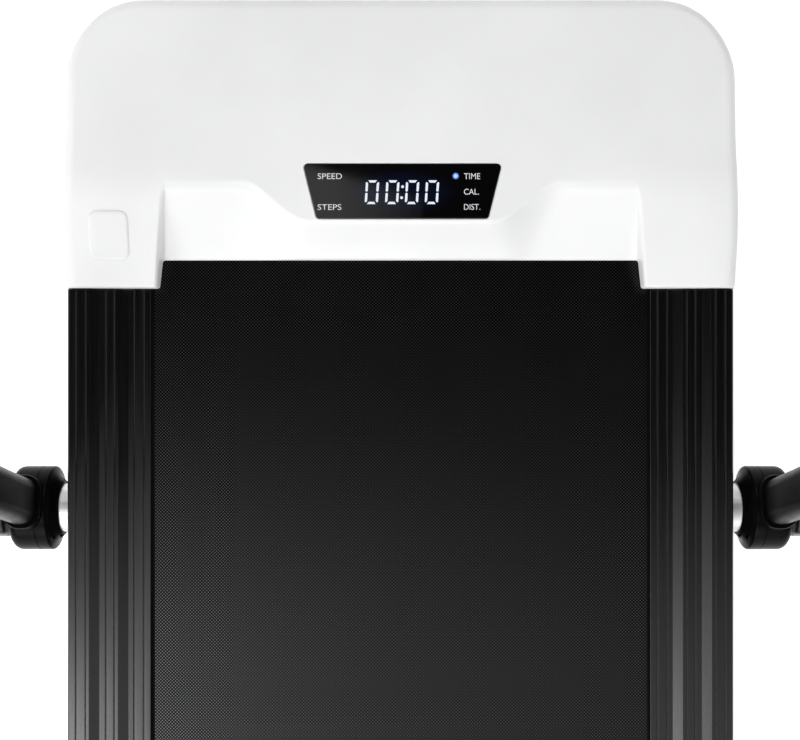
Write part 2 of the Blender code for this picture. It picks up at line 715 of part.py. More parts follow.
def tension_bolts(rear_axle):
    head_front = REAR_Y + BOLT_RECESS + BOLT_HEAD_LENGTH
    for label, side in SIDES:
        x = side * TUBE_MIDDLE_X
        profile = [
            (0, BOLT_LENGTH), (BOLT_RADIUS, BOLT_LENGTH), (BOLT_RADIUS, 0), (BOLT_HEAD_RADIUS, 0),
            (BOLT_HEAD_RADIUS, -BOLT_HEAD_LENGTH), (0, -BOLT_HEAD_LENGTH),
        ]
        bolt = turned(f"tension_bolt_{label}", profile, "Y", (x, head_front, ROLLER_Z), SMALL, ZINC)
        boolean(bolt, rod(f"hex_key_{label}", HEX_KEY_RADIUS, -BOLT_HEAD_LENGTH - CUT_PAST,
                          HEX_KEY_DEPTH - BOLT_HEAD_LENGTH, "Y", (x, head_front, ROLLER_Z), 6))
        through = 2 * AXLE_RADIUS
        boolean(rear_axle, rod(f"bolt_hole_{label}", BOLT_RADIUS + GAP, -through, through, "Y",
                               (x, REAR_ROLLER_Y, ROLLER_Z), SMALL))


# Drive

def pulley_profile(radius, bore, width):
    """A flat pulley between two thin flanges, from the flange at +width/2 down."""
    half = width / 2
    rim = radius + PULLEY_FLANGE
    seat = half - PULLEY_FLANGE / 2
    return [(rim, half), (rim, seat), (radius, seat), (radius, -seat), (rim, -seat), (rim, -half),
            (bore, -half), (bore, half)]


def roller_pulley():
    bore = AXLE_RADIUS + RUNNING_GAP
    collar = -(ROLLER_LENGTH / 2 + GAP) - PULLEY_MIDDLE_X
    neck = ROLLER_RADIUS - ROLLER_EDGE
    wheel = pulley_profile(ROLLER_PULLEY_RADIUS, bore, PULLEY_WIDTH)[:-1]
    profile = [(neck, collar), (neck, PULLEY_WIDTH / 2)] + wheel + [(bore, collar)]
    turned("roller_pulley", profile, "X", (PULLEY_MIDDLE_X, FRONT_ROLLER_Y, ROLLER_Z), FINE, BLACK_PLASTIC,
           closed=True)


def motor():
    outer = MOTOR_INNER_X - MOTOR_LENGTH
    half = MOTOR_LENGTH / 2
    bore = SHAFT_RADIUS + RUNNING_GAP
    neck, end = MOTOR_RADIUS - MOTOR_BELL_STEP, MOTOR_RADIUS - 2 * MOTOR_BELL_STEP
    profile = [
        (end, half), (neck, half - MOTOR_BELL), (MOTOR_RADIUS, half - MOTOR_BELL),
        (MOTOR_RADIUS, MOTOR_BELL - half), (neck, MOTOR_BELL - half), (end, -half),
        (bore, -half), (bore, half),
    ]
    turned("motor_body", profile, "X", (outer + half, MOTOR_Y, MOTOR_Z), FINE, BLACK_PAINT, closed=True)
    rod("motor_shaft", SHAFT_RADIUS, PULLEY_OUTER_X - SHAFT_PROUD, MOTOR_INNER_X + SHAFT_PROUD, "X",
        (0, MOTOR_Y, MOTOR_Z), COARSE, ZINC)
    turned("motor_pulley", pulley_profile(MOTOR_PULLEY_RADIUS, SHAFT_RADIUS + GAP, PULLEY_WIDTH), "X",
           (PULLEY_MIDDLE_X, MOTOR_Y, MOTOR_Z), MEDIUM, ZINC, closed=True)


def drive_belt():
    loops = [round_the_pair((FRONT_ROLLER_Y, ROLLER_Z), ROLLER_PULLEY_RADIUS + extra,
                            (MOTOR_Y, MOTOR_Z), MOTOR_PULLEY_RADIUS + extra, COARSE)
             for extra in (GAP + DRIVE_BELT_THICKNESS, GAP)]
    half = DRIVE_BELT_WIDTH / 2
    prism("drive_belt", loops, PULLEY_MIDDLE_X - half, PULLEY_MIDDLE_X + half, "X", RUBBER)


def control_board():
    bottom = TRAY_TOP_Z + GAP + STANDOFF_HEIGHT
    inside = bottom + BOARD_SHEET / 2
    board = box("control_board", (*CONTROL_LOW, bottom), (*CONTROL_HIGH, bottom + BOARD_SHEET), BOARD_GREEN)
    corners = rectangle([value + STANDOFF_INSET for value in CONTROL_LOW],
                        [value - STANDOFF_INSET for value in CONTROL_HIGH])
    half = STANDOFF_SIZE / 2
    for index, (x, y) in enumerate(corners):
        boolean(board, box(f"standoff_{index}", (x - half, y - half, TRAY_TOP_Z + GAP),
                           (x + half, y + half, inside)), "UNION")
    corner = Vector((*CONTROL_LOW, inside))
    for index, place_on_board in enumerate(CAPACITOR_PLACES):
        boolean(board, rod(f"capacitor_{index}", CAPACITOR_RADIUS, 0, CAPACITOR_HEIGHT, "Z",
                           corner + Vector((*place_on_board, 0)), COARSE), "UNION")
    low = corner + Vector((*RELAY_PLACE, 0))
    boolean(board, box("relay", low, low + Vector(RELAY_SIZE)), "UNION")


def heat_sink():
    low, high = CONTROL_LOW[0] + SINK_INSET, CONTROL_HIGH[0] - SINK_INSET
    back = CONTROL_HIGH[1] + GAP
    bottom = TRAY_TOP_Z + GAP
    sink = box("heat_sink", (low, back, bottom), (high, back + SINK_DEPTH, bottom + SINK_HEIGHT), ALUMINIUM)
    pitch = (high - low - SINK_FIN) / (SINK_FINS - 1)
    slots = box("sink_slots", (low + SINK_FIN, back + SINK_PLATE, bottom - CUT_PAST),
                (low + pitch, back + SINK_DEPTH + CUT_PAST, bottom + SINK_HEIGHT + CUT_PAST))
    row = slots.modifiers.new("row", "ARRAY")
    row.count = SINK_FINS - 1
    row.use_relative_offset = False
    row.use_constant_offset = True
    row.constant_offset_displace = (pitch, 0, 0)
    boolean(sink, slots)


# Hood

def hood_depth(x, y, inset):
    """How far a point of the plan lies inside the hood's front and side outline."""
    half = HOOD_HALF_WIDTH - inset
    corner = HOOD_CORNER_RADIUS - inset
    across = abs(x) - (half - corner)
    ahead = y - (FRONT_Y - inset - corner)
    if across > 0 and ahead > 0:
        return corner - math.hypot(across, ahead)
    return min(half - abs(x), FRONT_Y - inset - y)


def hood_outline(inset, rear_y, steps=8):
    """The hood's outline from its rear left corner round the front to its rear right corner."""
    half = HOOD_HALF_WIDTH - inset
    corner = HOOD_CORNER_RADIUS - inset
    centre = (half - corner, FRONT_Y - inset - corner)
    arc = [(centre[0] + corner * math.sin(math.pi / 2 * step / steps),
            centre[1] + corner * math.cos(math.pi / 2 * step / steps)) for step in range(steps + 1)]
    return [(-half, rear_y)] + [(-x, y) for x, y in reversed(arc)] + arc + [(half, rear_y)]


def smooth_step(value):
    value = min(max(value, 0.0), 1.0)
    return value * value * (3 - 2 * value)


def crown(x, y):
    """Height of the hood's top, before its rim is rounded and its ramp is cut."""
    if y > HOOD_CREST_Y:
        return HOOD_CREST_Z - HOOD_FRONT_DROP * ((y - HOOD_CREST_Y) / (FRONT_Y - HOOD_CREST_Y)) ** 2
    behind = HOOD_CREST_Y - y
    if behind < PAD_BEND:
        fall = PAD_SLOPE * behind ** 2 / (2 * PAD_BEND)
    else:
        fall = PAD_SLOPE * (behind - PAD_BEND / 2)
    return HOOD_CREST_Z - fall * smooth_step((abs(x) - BULGE_ROOT_HALF) / crown_blend_width())


def crown_blend_width():
    """The pads begin to fall away from the level middle just inside their edges, over the ramp."""
    return (PAD_EDGE_FRONT_X - BULGE_ROOT_HALF) / 2


def hood_form(name, inset, bottom_z, surface=None, rim_steps=3):
    """The hood's outer form as a solid or, with an inset, the space inside its wall."""
    rim = HOOD_RIM_RADIUS - inset
    rear_y = PAD_END_Y + inset
    angles = [math.pi / 2 * step / rim_steps for step in range(rim_steps + 1)]
    edge = inset + HOOD_DRAFT
    bm = bmesh.new()
    rings = [[bm.verts.new((x, y, 0)) for x, y in hood_outline(edge + rim * (1 - math.cos(angle)), rear_y)]
             for angle in angles]
    for outer, inner in zip(rings, rings[1:]):
        for index in range(len(outer) - 1):
            bm.faces.new((outer[index], inner[index], inner[index + 1], outer[index + 1]))
    bm.faces.new(list(reversed(rings[-1])))
    crest = HOOD_CREST_Y
    lines = [(Vector((0, y, 0)), Vector((0, 1, 0))) for y in
             [crest + (FRONT_Y - crest) * share for share in (0.0, 0.3, 0.6)]
             + [crest - PAD_BEND * share for share in (0.5, 1.0)]]
    for x in (BULGE_ROOT_HALF, BULGE_ROOT_HALF + crown_blend_width()):
        lines += [(Vector((side * x, 0, 0)), Vector((1, 0, 0))) for _, side in SIDES]
    for origin, normal in lines:
        bmesh.ops.bisect_plane(bm, geom=bm.verts[:] + bm.edges[:] + bm.faces[:], dist=1e-6,
                               plane_co=origin, plane_no=normal)
    for vert in bm.verts:
        depth = hood_depth(vert.co.x, vert.co.y, edge)
        inside = rim - min(max(depth, 0.0), rim)
        drop = rim - math.sqrt(max(rim ** 2 - inside ** 2, 0.0))
        vert.co.z = crown(vert.co.x, vert.co.y) - inset - drop
    border = [edge_ for edge_ in bm.edges if edge_.is_boundary]
    walls = bmesh.ops.extrude_edge_only(bm, edges=border)["geom"]
    for vert in (item for item in walls if isinstance(item, bmesh.types.BMVert)):
        vert.co.x *= HOOD_HALF_WIDTH / (HOOD_HALF_WIDTH - HOOD_DRAFT)
        vert.co.y = PAD_END_Y + (vert.co.y - PAD_END_Y) * HOOD_LENGTH / (HOOD_LENGTH - HOOD_DRAFT)
        vert.co.z = bottom_z
    bmesh.ops.holes_fill(bm, edges=[edge_ for edge_ in bm.edges if edge_.is_boundary], sides=0)
    bmesh.ops.recalc_face_normals(bm, faces=bm.faces)
    return place(name, as_mesh(bm, name), surface)


def pad_edge_x(y):
    return PAD_EDGE_FRONT_X + PAD_EDGE_FLARE * (PAD_EDGE_FRONT_Y - y)


def ramp(label, inset):
    """What is cut from the hood between its pads: a ramp down to the belt, round the display's bulge."""
    fall = (HOOD_CREST_Z - RAMP_REAR_Z) / (RAMP_FRONT_Y - RAMP_REAR_Y)
    front = RAMP_FRONT_Y + inset / 2
    rear = RAMP_REAR_Y + inset
    start_z = HOOD_CREST_Z - inset
    rear_z = start_z - fall * (front - rear)
    high, low, behind = HOOD_CREST_Z + 5 * CUT_PAST, -5 * CUT_PAST, PAD_END_Y - 2 * CUT_PAST
    section = [(front, start_z), (front, high), (behind, high), (behind, low), (rear, low), (rear, rear_z)]
    wedge = prism(f"ramp_{label}", [section], -1, 1, "X")
    for vert in wedge.data.vertices:
        vert.co.z = math.copysign(pad_edge_x(vert.co.x) + inset, vert.co.z)
    outline = [(-BULGE_REAR_HALF, BULGE_REAR_Y), (BULGE_REAR_HALF, BULGE_REAR_Y),
               (BULGE_SIDE_HALF, BULGE_SIDE_Y), (BULGE_ROOT_HALF, BULGE_ROOT_Y),
               (BULGE_ROOT_HALF, BULGE_ROOT_Y + 3 * CUT_PAST),
               (-BULGE_ROOT_HALF, BULGE_ROOT_Y + 3 * CUT_PAST),
               (-BULGE_ROOT_HALF, BULGE_ROOT_Y), (-BULGE_SIDE_HALF, BULGE_SIDE_Y)]
    depth = start_z - rear_z + CUT_PAST
    levels = [(high + CUT_PAST, -inset), (start_z, -inset),
              (start_z - depth, depth / BULGE_WALL_SLOPE - inset)]
    bm = bmesh.new()
    rings = [[bm.verts.new((x, y, z)) for x, y in offset(outline, out)] for z, out in levels]
    for upper, lower in zip(rings, rings[1:]):
        for index in range(len(upper)):
            bm.faces.new((upper[index - 1], lower[index - 1], lower[index], upper[index]))
    bm.faces.new(rings[0])
    bm.faces.new(list(reversed(rings[-1])))
    bmesh.ops.recalc_face_normals(bm, faces=bm.faces)
    bulge = place(f"bulge_{label}", as_mesh(bm, f"bulge_{label}"), None)
    return boolean(wedge, bulge)


def lens_outline(extra=0.0):
    corners = [(LENS_SHIFT - LENS_REAR_HALF, LENS_REAR_Y), (LENS_SHIFT + LENS_REAR_HALF, LENS_REAR_Y),
               (LENS_SHIFT + LENS_FRONT_HALF, LENS_FRONT_Y), (LENS_SHIFT - LENS_FRONT_HALF, LENS_FRONT_Y)]
    return rounded(offset(corners, extra), LENS_CORNER, 3)


def key_seat(name, extra, low, high, surface=None):
    """A rounded plate that lies on the left pad's slope, between two heights over the pad's surface."""
    outline = rounded(centred((0, 0), (KEY_SEAT_WIDTH + 2 * extra, KEY_SEAT_LENGTH + 2 * extra)),
                      KEY_SEAT_CORNER + extra, 4)
    plate = prism(name, [outline], low, high, "Z", surface)
    tilt = math.atan(PAD_SLOPE)
    middle = Vector((KEY_SEAT_X, KEY_SEAT_Y, crown(KEY_SEAT_X, KEY_SEAT_Y)))
    plate.rotation_euler = (tilt, 0, 0)
    plate.location = middle + Matrix.Rotation(tilt, 3, "X") @ Vector((0, 0, (low + high) / 2))
    return plate


def hood_cover():
    hood = hood_form("hood_cover", 0, HOOD_BOTTOM_Z, WHITE)
    boolean(hood, ramp("outside", 0))
    space = hood_form("hood_space", HOOD_WALL, HOOD_BOTTOM_Z - CUT_PAST)
    boolean(space, ramp("inside", HOOD_WALL))
    past_front = FRONT_Y + CUT_PAST
    wall = PANEL_WALL
    boolean(space, box("panel_block", (PANEL_LOW_X - wall, PANEL_Y - wall, PANEL_LOW_Z - wall),
                       (PANEL_HIGH_X + wall, past_front, PANEL_HIGH_Z + wall)))
    boolean(hood, space)
    tube_edge = TUBE_OUTER_X + 2 * GAP
    past_ramp = RAMP_REAR_Y + CUT_PAST
    boolean(hood, box("frame_slot", (-tube_edge, PAD_END_Y - CUT_PAST, 0),
                      (tube_edge, past_ramp, TUBE_TOP_Z + 2 * GAP)))
    board_edge = BOARD_WIDTH / 2 + 2 * GAP
    boolean(hood, box("deck_slot", (-board_edge, PAD_END_Y - 1.2 * CUT_PAST, 0),
                      (board_edge, past_ramp + RAMP_WALL_GAP, BELT_TOP_Z + BELT_MOUTH)))
    boolean(hood, box("panel_recess", (PANEL_LOW_X, PANEL_Y, PANEL_LOW_Z),
                      (PANEL_HIGH_X, past_front, PANEL_HIGH_Z)))
    for label, side in SIDES:
        well_half = WHEEL_HUB_HALF + EAR_SHEET
        boolean(hood, rod(f"hood_well_{label}", WHEEL_RADIUS + WHEEL_WELL_GAP, -well_half, well_half, "X",
                          (side * WHEEL_X, WHEEL_Y, WHEEL_Z), MEDIUM))
    for name, x, size in (("socket", SOCKET_X, SOCKET_BODY), ("switch", SWITCH_X, SWITCH_BODY)):
        half = [(s / 2 + GAP) for s in size]
        boolean(hood, box(f"{name}_hole", (x - half[0], PANEL_Y - 2 * CUT_PAST, PANEL_MIDDLE_Z - half[1]),
                          (x + half[0], PANEL_Y + CUT_PAST, PANEL_MIDDLE_Z + half[1])))
    boolean(hood, rod("breaker_hole", BREAKER_BODY_RADIUS + GAP, -2 * CUT_PAST, CUT_PAST, "Y",
                      (BREAKER_X, PANEL_Y, PANEL_MIDDLE_Z), COARSE))
    boolean(hood, prism("lens_seat", [lens_outline(GAP)], HOOD_CREST_Z - LENS_THICKNESS - GAP,
                        HOOD_CREST_Z + CUT_PAST, "Z"))
    boolean(hood, prism("lens_window", [lens_outline(-LENS_LEDGE)], HOOD_CREST_Z - 2 * CUT_PAST,
                        HOOD_CREST_Z + 1.2 * CUT_PAST, "Z"))
    boolean(hood, key_seat("key_seat_recess", GAP, -KEY_SEAT_DEPTH, CUT_PAST))
    hood.data.shade_smooth()
    hood.data.set_sharp_from_angle(angle=math.radians(35))


def belly_pan():
    outline = hood_outline(PAN_INSET, PAD_END_Y, 8)
    pan = prism("belly_pan", [outline], GROUND_GAP, PAN_TOP_Z, "Z", BLACK_PLASTIC)
    half_width = WHEEL_HUB_HALF + EAR_SHEET + WHEEL_PIN_CAP + 4 * GAP
    half_length = WHEEL_RADIUS + WHEEL_WELL_GAP
    for label, side in SIDES:
        x = side * WHEEL_X
        boolean(pan, box(f"pan_well_{label}", (x - half_width, WHEEL_Y - half_length, 0),
                         (x + half_width, WHEEL_Y + half_length, PAN_TOP_Z + CUT_PAST)))


# Display and connections

def display():
    lens_bottom = HOOD_CREST_Z - LENS_THICKNESS
    prism("display_lens", [lens_outline()], lens_bottom, HOOD_CREST_Z, "Z", GLASS)
    under_wall = HOOD_CREST_Z - HOOD_WALL - GAP
    x, y = LENS_SHIFT, (LENS_FRONT_Y + LENS_REAR_Y) / 2 + DISPLAY_BOARD_SHIFT
    wide, deep = (LENS_REAR_HALF - DISPLAY_BOARD_INSET[0],
                  (LENS_FRONT_Y - LENS_REAR_Y) / 2 - DISPLAY_BOARD_INSET[1])
    top = under_wall - LED_BLOCK_HEIGHT
    inside = top - BOARD_SHEET / 2
    board = box("display_board", (x - wide, y - deep, top - BOARD_SHEET), (x + wide, y + deep, top),
                BOARD_GREEN)
    half = LED_BLOCK_HALF
    boolean(board, box("led_block", (x - half[0], y - half[1], inside),
                       (x + half[0], y + half[1], lens_bottom - GAP)), "UNION")
    half = BOARD_POST_HALF
    for label, side in SIDES:
        post_x = x + side * (wide - BOARD_POST_INSET)
        boolean(board, box(f"board_post_{label}", (post_x - half[0], y - half[1], inside),
                           (post_x + half[0], y + half[1], under_wall)), "UNION")
    key_seat("key_seat", 0, GAP - KEY_SEAT_DEPTH, KEY_SEAT_PROUD, WHITE)


def on_panel(name, x, size, low_y, high_y, surface=None):
    """A box centred at the panel's middle height, given by its width and height."""
    return box(name, (x - size[0] / 2, low_y, PANEL_MIDDLE_Z - size[1] / 2),
               (x + size[0] / 2, high_y, PANEL_MIDDLE_Z + size[1] / 2), surface)


def flanged_body(name, x, flange, body, depth):
    """A snap-in body behind its flange on the connection panel."""
    part = on_panel(name, x, flange, PANEL_Y + GAP, FLANGE_FRONT_Y, BLACK_PLASTIC)
    inside = FLANGE_FRONT_Y - PANEL_FLANGE / 3
    boolean(part, on_panel(f"{name}_shell", x, body, FLANGE_FRONT_Y - depth, inside), "UNION")
    return part


def power_socket():
    socket = flanged_body("power_socket", SOCKET_X, SOCKET_FLANGE, SOCKET_BODY, SOCKET_DEPTH)
    floor = FLANGE_FRONT_Y - SOCKET_DEPTH + SOCKET_FLOOR
    boolean(socket, on_panel("socket_well", SOCKET_X, SOCKET_WELL, floor, FRONT_Y + CUT_PAST))
    for index, (across, up) in enumerate(((-1, -PIN_DROP), (0, PIN_RISE), (1, -PIN_DROP))):
        x, z = SOCKET_X + across * PIN_SPACING, PANEL_MIDDLE_Z + up
        boolean(socket, box(f"socket_pin_{index}", (x - PIN_SIZE[0] / 2, floor - SOCKET_FLOOR / 2,
                                                    z - PIN_SIZE[1] / 2),
                            (x + PIN_SIZE[0] / 2, floor + PIN_LENGTH, z + PIN_SIZE[1] / 2)), "UNION")


def power_switch():
    housing = flanged_body("switch_housing", SWITCH_X, SWITCH_FLANGE, SWITCH_BODY, SWITCH_DEPTH)
    floor = FLANGE_FRONT_Y - SWITCH_DEPTH + SWITCH_FLOOR
    boolean(housing, on_panel("switch_well", SWITCH_X, SWITCH_WELL, floor, FRONT_Y + CUT_PAST))
    half_height = math.sqrt((SWITCH_WELL[1] / 2 - 2 * GAP) ** 2 - ROCKER_THICKNESS ** 2)
    rise = half_height * math.tan(ROCKER_TILT)
    outline = [(-ROCKER_THICKNESS, -half_height), (rise, -half_height), (0, 0), (rise, half_height),
               (-ROCKER_THICKNESS, half_height)]
    half_width = SWITCH_WELL[0] / 2 - GAP
    rocker = prism("power_rocker", [outline], -half_width, half_width, "X", BLACK_PLASTIC)
    rocker.location = (SWITCH_X, FLANGE_FRONT_Y - ROCKER_RISE, PANEL_MIDDLE_Z)
    rocker.rotation_euler = (Matrix.Rotation(-ROCKER_TILT, 3, "X")
                             @ rocker.rotation_euler.to_matrix()).to_euler()


def breaker():
    bore = BUTTON_RADIUS + RUNNING_GAP
    origin = (BREAKER_X, FLANGE_FRONT_Y, PANEL_MIDDLE_Z)
    button_back = BUTTON_PROUD - BUTTON_LENGTH
    profile = [
        (0, 0), (BREAKER_FLANGE_RADIUS, 0), (BREAKER_FLANGE_RADIUS, -PANEL_FLANGE),
        (BREAKER_BODY_RADIUS, -PANEL_FLANGE), (BREAKER_BODY_RADIUS, -BREAKER_DEPTH), (0, -BREAKER_DEPTH),
    ]
    housing = turned("breaker_housing", profile, "Y", origin, COARSE, BLACK_PLASTIC)
    boolean(housing, rod("button_bore", bore, button_back - BUTTON_TRAVEL_SPACE, CUT_PAST, "Y", origin,
                         COARSE))
    rod("reset_button", BUTTON_RADIUS, button_back, BUTTON_PROUD, "Y", origin, COARSE, BLACK_PLASTIC)


# Foot rails and end caps

def rail_section():
    """Section of the right rail: three lands that step down towards the belt, and a deep outer wall."""
    low = RAIL_TOP_Z - 2 * RAIL_STEP
    middle = RAIL_TOP_Z - RAIL_STEP
    x = RAIL_INNER_X
    slope_start = x + RAIL_LOW_LAND
    middle_start = slope_start + RAIL_SLOPE
    middle_end = middle_start + RAIL_MIDDLE_LAND
    high_start = middle_end + RAIL_SLOPE
    outer = RAIL_OUTER_X
    wall = RAIL_WALL
    top = [(x, low), (slope_start, low), (middle_start, middle), (middle_end, middle),
           (high_start, RAIL_TOP_Z), (outer - RAIL_EDGE, RAIL_TOP_Z), (outer, RAIL_TOP_Z - RAIL_EDGE)]
    under = [
        (outer, RAIL_BOTTOM_Z), (outer - RAIL_BOTTOM_LIP, RAIL_BOTTOM_Z),
        (outer - RAIL_BOTTOM_LIP, RAIL_BOTTOM_Z + wall), (outer - wall, RAIL_BOTTOM_Z + wall),
        (outer - wall, RAIL_TOP_Z - wall), (high_start + wall / 4, RAIL_TOP_Z - wall),
        (middle_end + wall / 4, middle - wall), (middle_start + wall / 4, middle - wall),
        (slope_start + wall / 4, low - wall), (x + wall, low - wall), (x + wall, BOARD_TOP_Z + LIP_CLEARANCE),
        (x, BOARD_TOP_Z + LIP_CLEARANCE),
    ]
    return top, under


def side_rail(label, side):
    top, under = rail_section()
    outline = mirrored(top + under, side)
    low, high = CAP_FRONT_Y + GAP, PAD_END_Y - 2 * GAP
    rail = prism(f"side_rail_{label}", [outline], low, high, "Y", BLACK_RAIL)
    bottom = TUBE_TOP_Z + GAP
    for name, web_x, web_top in (("inner", TUBE_INNER_X + WEB_INSET, RAIL_TOP_Z - RAIL_STEP - RAIL_WALL / 2),
                                 ("outer", TUBE_OUTER_X - WEB_INSET, RAIL_TOP_Z - RAIL_WALL / 2)):
        x = side * web_x
        boolean(rail, box(f"{name}_web_{label}", (x - RAIL_WEB / 2, low + WEB_INSET, bottom),
                          (x + RAIL_WEB / 2, high - WEB_INSET, web_top)), "UNION")
    hole = rod(f"pivot_hole_{label}", PIVOT_TUBE_RADIUS + 2 * GAP, -2 * RAIL_WALL, 2 * RAIL_WALL, "X",
               (side * RAIL_OUTER_X, PIVOT_Y, PIVOT_Z), MEDIUM)
    boolean(rail, hole)


def cap_outline(outer, inner, rear, front, corner, steps):
    """Plan of an end cap on the right side, square except for its outer rear corner."""
    arc = [(outer - corner + corner * math.cos(angle), rear + corner - corner * math.sin(angle))
           for angle in (math.pi / 2 * step / steps for step in range(steps + 1))]
    return [(outer, front)] + arc + [(inner, rear), (inner, front)]


def end_cap(label, side):
    outer = HOOD_HALF_WIDTH
    inner = RAIL_INNER_X + GAP
    outline = cap_outline(outer, inner, REAR_Y, CAP_FRONT_Y, CAP_CORNER_RADIUS, 6)
    top = RAIL_TOP_Z + CAP_OVER_RAIL
    cap = bevel(prism(f"end_cap_{label}", [mirrored(outline, side)], CAP_BOTTOM_Z, top, "Z", BLACK_PLASTIC),
                CAP_BEVEL)
    head_front = REAR_Y + BOLT_RECESS + BOLT_HEAD_LENGTH
    hollow = cap_outline(outer - CAP_WALL, inner + CAP_WALL, head_front + BOLT_RECESS, CAP_FRONT_Y + CUT_PAST,
                         CAP_CORNER_RADIUS - CAP_WALL, 4)
    boolean(cap, prism(f"cap_hollow_{label}", [mirrored(hollow, side)], CAP_BOTTOM_Z + CAP_WALL,
                       top - CAP_WALL, "Z"))
    bolt_place = (side * TUBE_MIDDLE_X, REAR_Y, ROLLER_Z)
    boolean(cap, rod(f"bolt_seat_{label}", BOLT_HEAD_RADIUS + 4 * GAP, -CUT_PAST,
                     BOLT_RECESS + BOLT_HEAD_LENGTH + GAP, "Y", bolt_place, COARSE))
    boolean(cap, rod(f"bolt_way_{label}", BOLT_RADIUS + 2 * GAP, -CUT_PAST, CAP_LENGTH, "Y", bolt_place,
                     SMALL))
    wall_x = side * (inner + CAP_WALL / 2)
    half = AXLE_RADIUS + 2 * GAP
    boolean(cap, box(f"axle_way_{label}", (wall_x - CAP_WALL, REAR_ROLLER_Y - half, ROLLER_Z - half),
                     (wall_x + CAP_WALL, CAP_FRONT_Y + CUT_PAST, ROLLER_Z + half)))


# Feet and transport wheels

def feet():
    for label, side in SIDES:
        for end, y, top in (("front", FRONT_FOOT_Y, GROUND_GAP - GAP),
                            ("rear", REAR_FOOT_Y, TUBE_BOTTOM_Z - GAP)):
            wide = FOOT_RADIUS + FOOT_FLARE
            profile = [(0, top), (FOOT_RADIUS, top), (wide, 2 * FOOT_EDGE), (wide - FOOT_EDGE, 0), (0, 0)]
            turned(f"foot_{end}_{label}", profile, "Z", (side * TUBE_MIDDLE_X, y, 0), COARSE, RUBBER)


def transport_wheels():
    half = WHEEL_WIDTH / 2
    bore = WHEEL_PIN_RADIUS + RUNNING_GAP
    hub = bore + WHEEL_HUB_WALL
    tyre, edge = WHEEL_RADIUS, WHEEL_EDGE
    for label, side in SIDES:
        centre = (side * WHEEL_X, WHEEL_Y, WHEEL_Z)
        profile = [
            (hub, WHEEL_HUB_HALF), (hub, half), (tyre - edge, half), (tyre, half - edge),
            (tyre, edge - half), (tyre - edge, -half), (hub, -half), (hub, -WHEEL_HUB_HALF),
            (bore, -WHEEL_HUB_HALF), (bore, WHEEL_HUB_HALF),
        ]
        turned(f"wheel_{label}", profile, "X", centre, MEDIUM, RUBBER, closed=True)
        reach = WHEEL_HUB_HALF + EAR_SHEET + 3 * GAP
        head = reach + WHEEL_PIN_CAP
        pin = [(0, head), (WHEEL_PIN_HEAD, head), (WHEEL_PIN_HEAD, reach), (WHEEL_PIN_RADIUS, reach),
               (WHEEL_PIN_RADIUS, -reach), (WHEEL_PIN_HEAD, -reach), (WHEEL_PIN_HEAD, -head), (0, -head)]
        turned(f"wheel_axle_{label}", pin, "X", centre, SMALL, ZINC)


# Handrail

def pivot_tube(label, side):
    start = TUBE_OUTER_X + GAP
    end = PIVOT_TUBE_END_X
    inner = PIVOT_TUBE_RADIUS - PIVOT_TUBE_WALL
    hole = SHANK_RADIUS + GAP
    profile = [(PIVOT_TUBE_RADIUS, end), (PIVOT_TUBE_RADIUS, start), (inner, start),
               (inner, end - PIVOT_TUBE_PLUG), (hole, end - PIVOT_TUBE_PLUG), (hole, end)]
    turned(f"pivot_tube_{label}", outward(profile, side), "X", (0, PIVOT_Y, PIVOT_Z), FINE, STEEL,
           closed=True)


def leg_section(extra=0.0):
    size = (LEG_THICKNESS + 2 * extra, LEG_DEPTH + 2 * extra)
    return rounded(centred((0, 0), size), LEG_CORNER + extra, 3)


def hinge_hub(label, side, pivot):
    bore = PIVOT_TUBE_RADIUS + RUNNING_GAP
    bore_end = PIVOT_TUBE_END_X + GAP
    shank_way = SHANK_RADIUS + GAP
    profile = [(HUB_RADIUS - HUB_EDGE, HUB_OUTER_X), (HUB_RADIUS, HUB_OUTER_X - HUB_EDGE),
               (HUB_RADIUS, HUB_INNER_X + HUB_TAPER), (HUB_NOSE_RADIUS, HUB_INNER_X), (bore, HUB_INNER_X),
               (bore, bore_end), (shank_way, bore_end), (shank_way, HUB_OUTER_X)]
    hub = turned(f"hinge_hub_{label}", outward(profile, side), "X", (0, 0, 0), FINE, BLACK_PLASTIC,
                 closed=True, parent=pivot)
    floor = bore + LEG_FOOT_WALL
    sleeve = prism(f"sleeve_{label}", [leg_section(GAP + SLEEVE_WALL)], floor - LEG_FOOT_WALL / 2, SLEEVE_TOP,
                   "Z", parent=pivot)
    socket = prism(f"leg_socket_{label}", [leg_section(GAP)], floor, SLEEVE_TOP + CUT_PAST, "Z", parent=pivot)
    for tool in (sleeve, socket):
        tool.location.x = side * LEG_X
    boolean(hub, sleeve, "UNION")
    boolean(hub, socket)


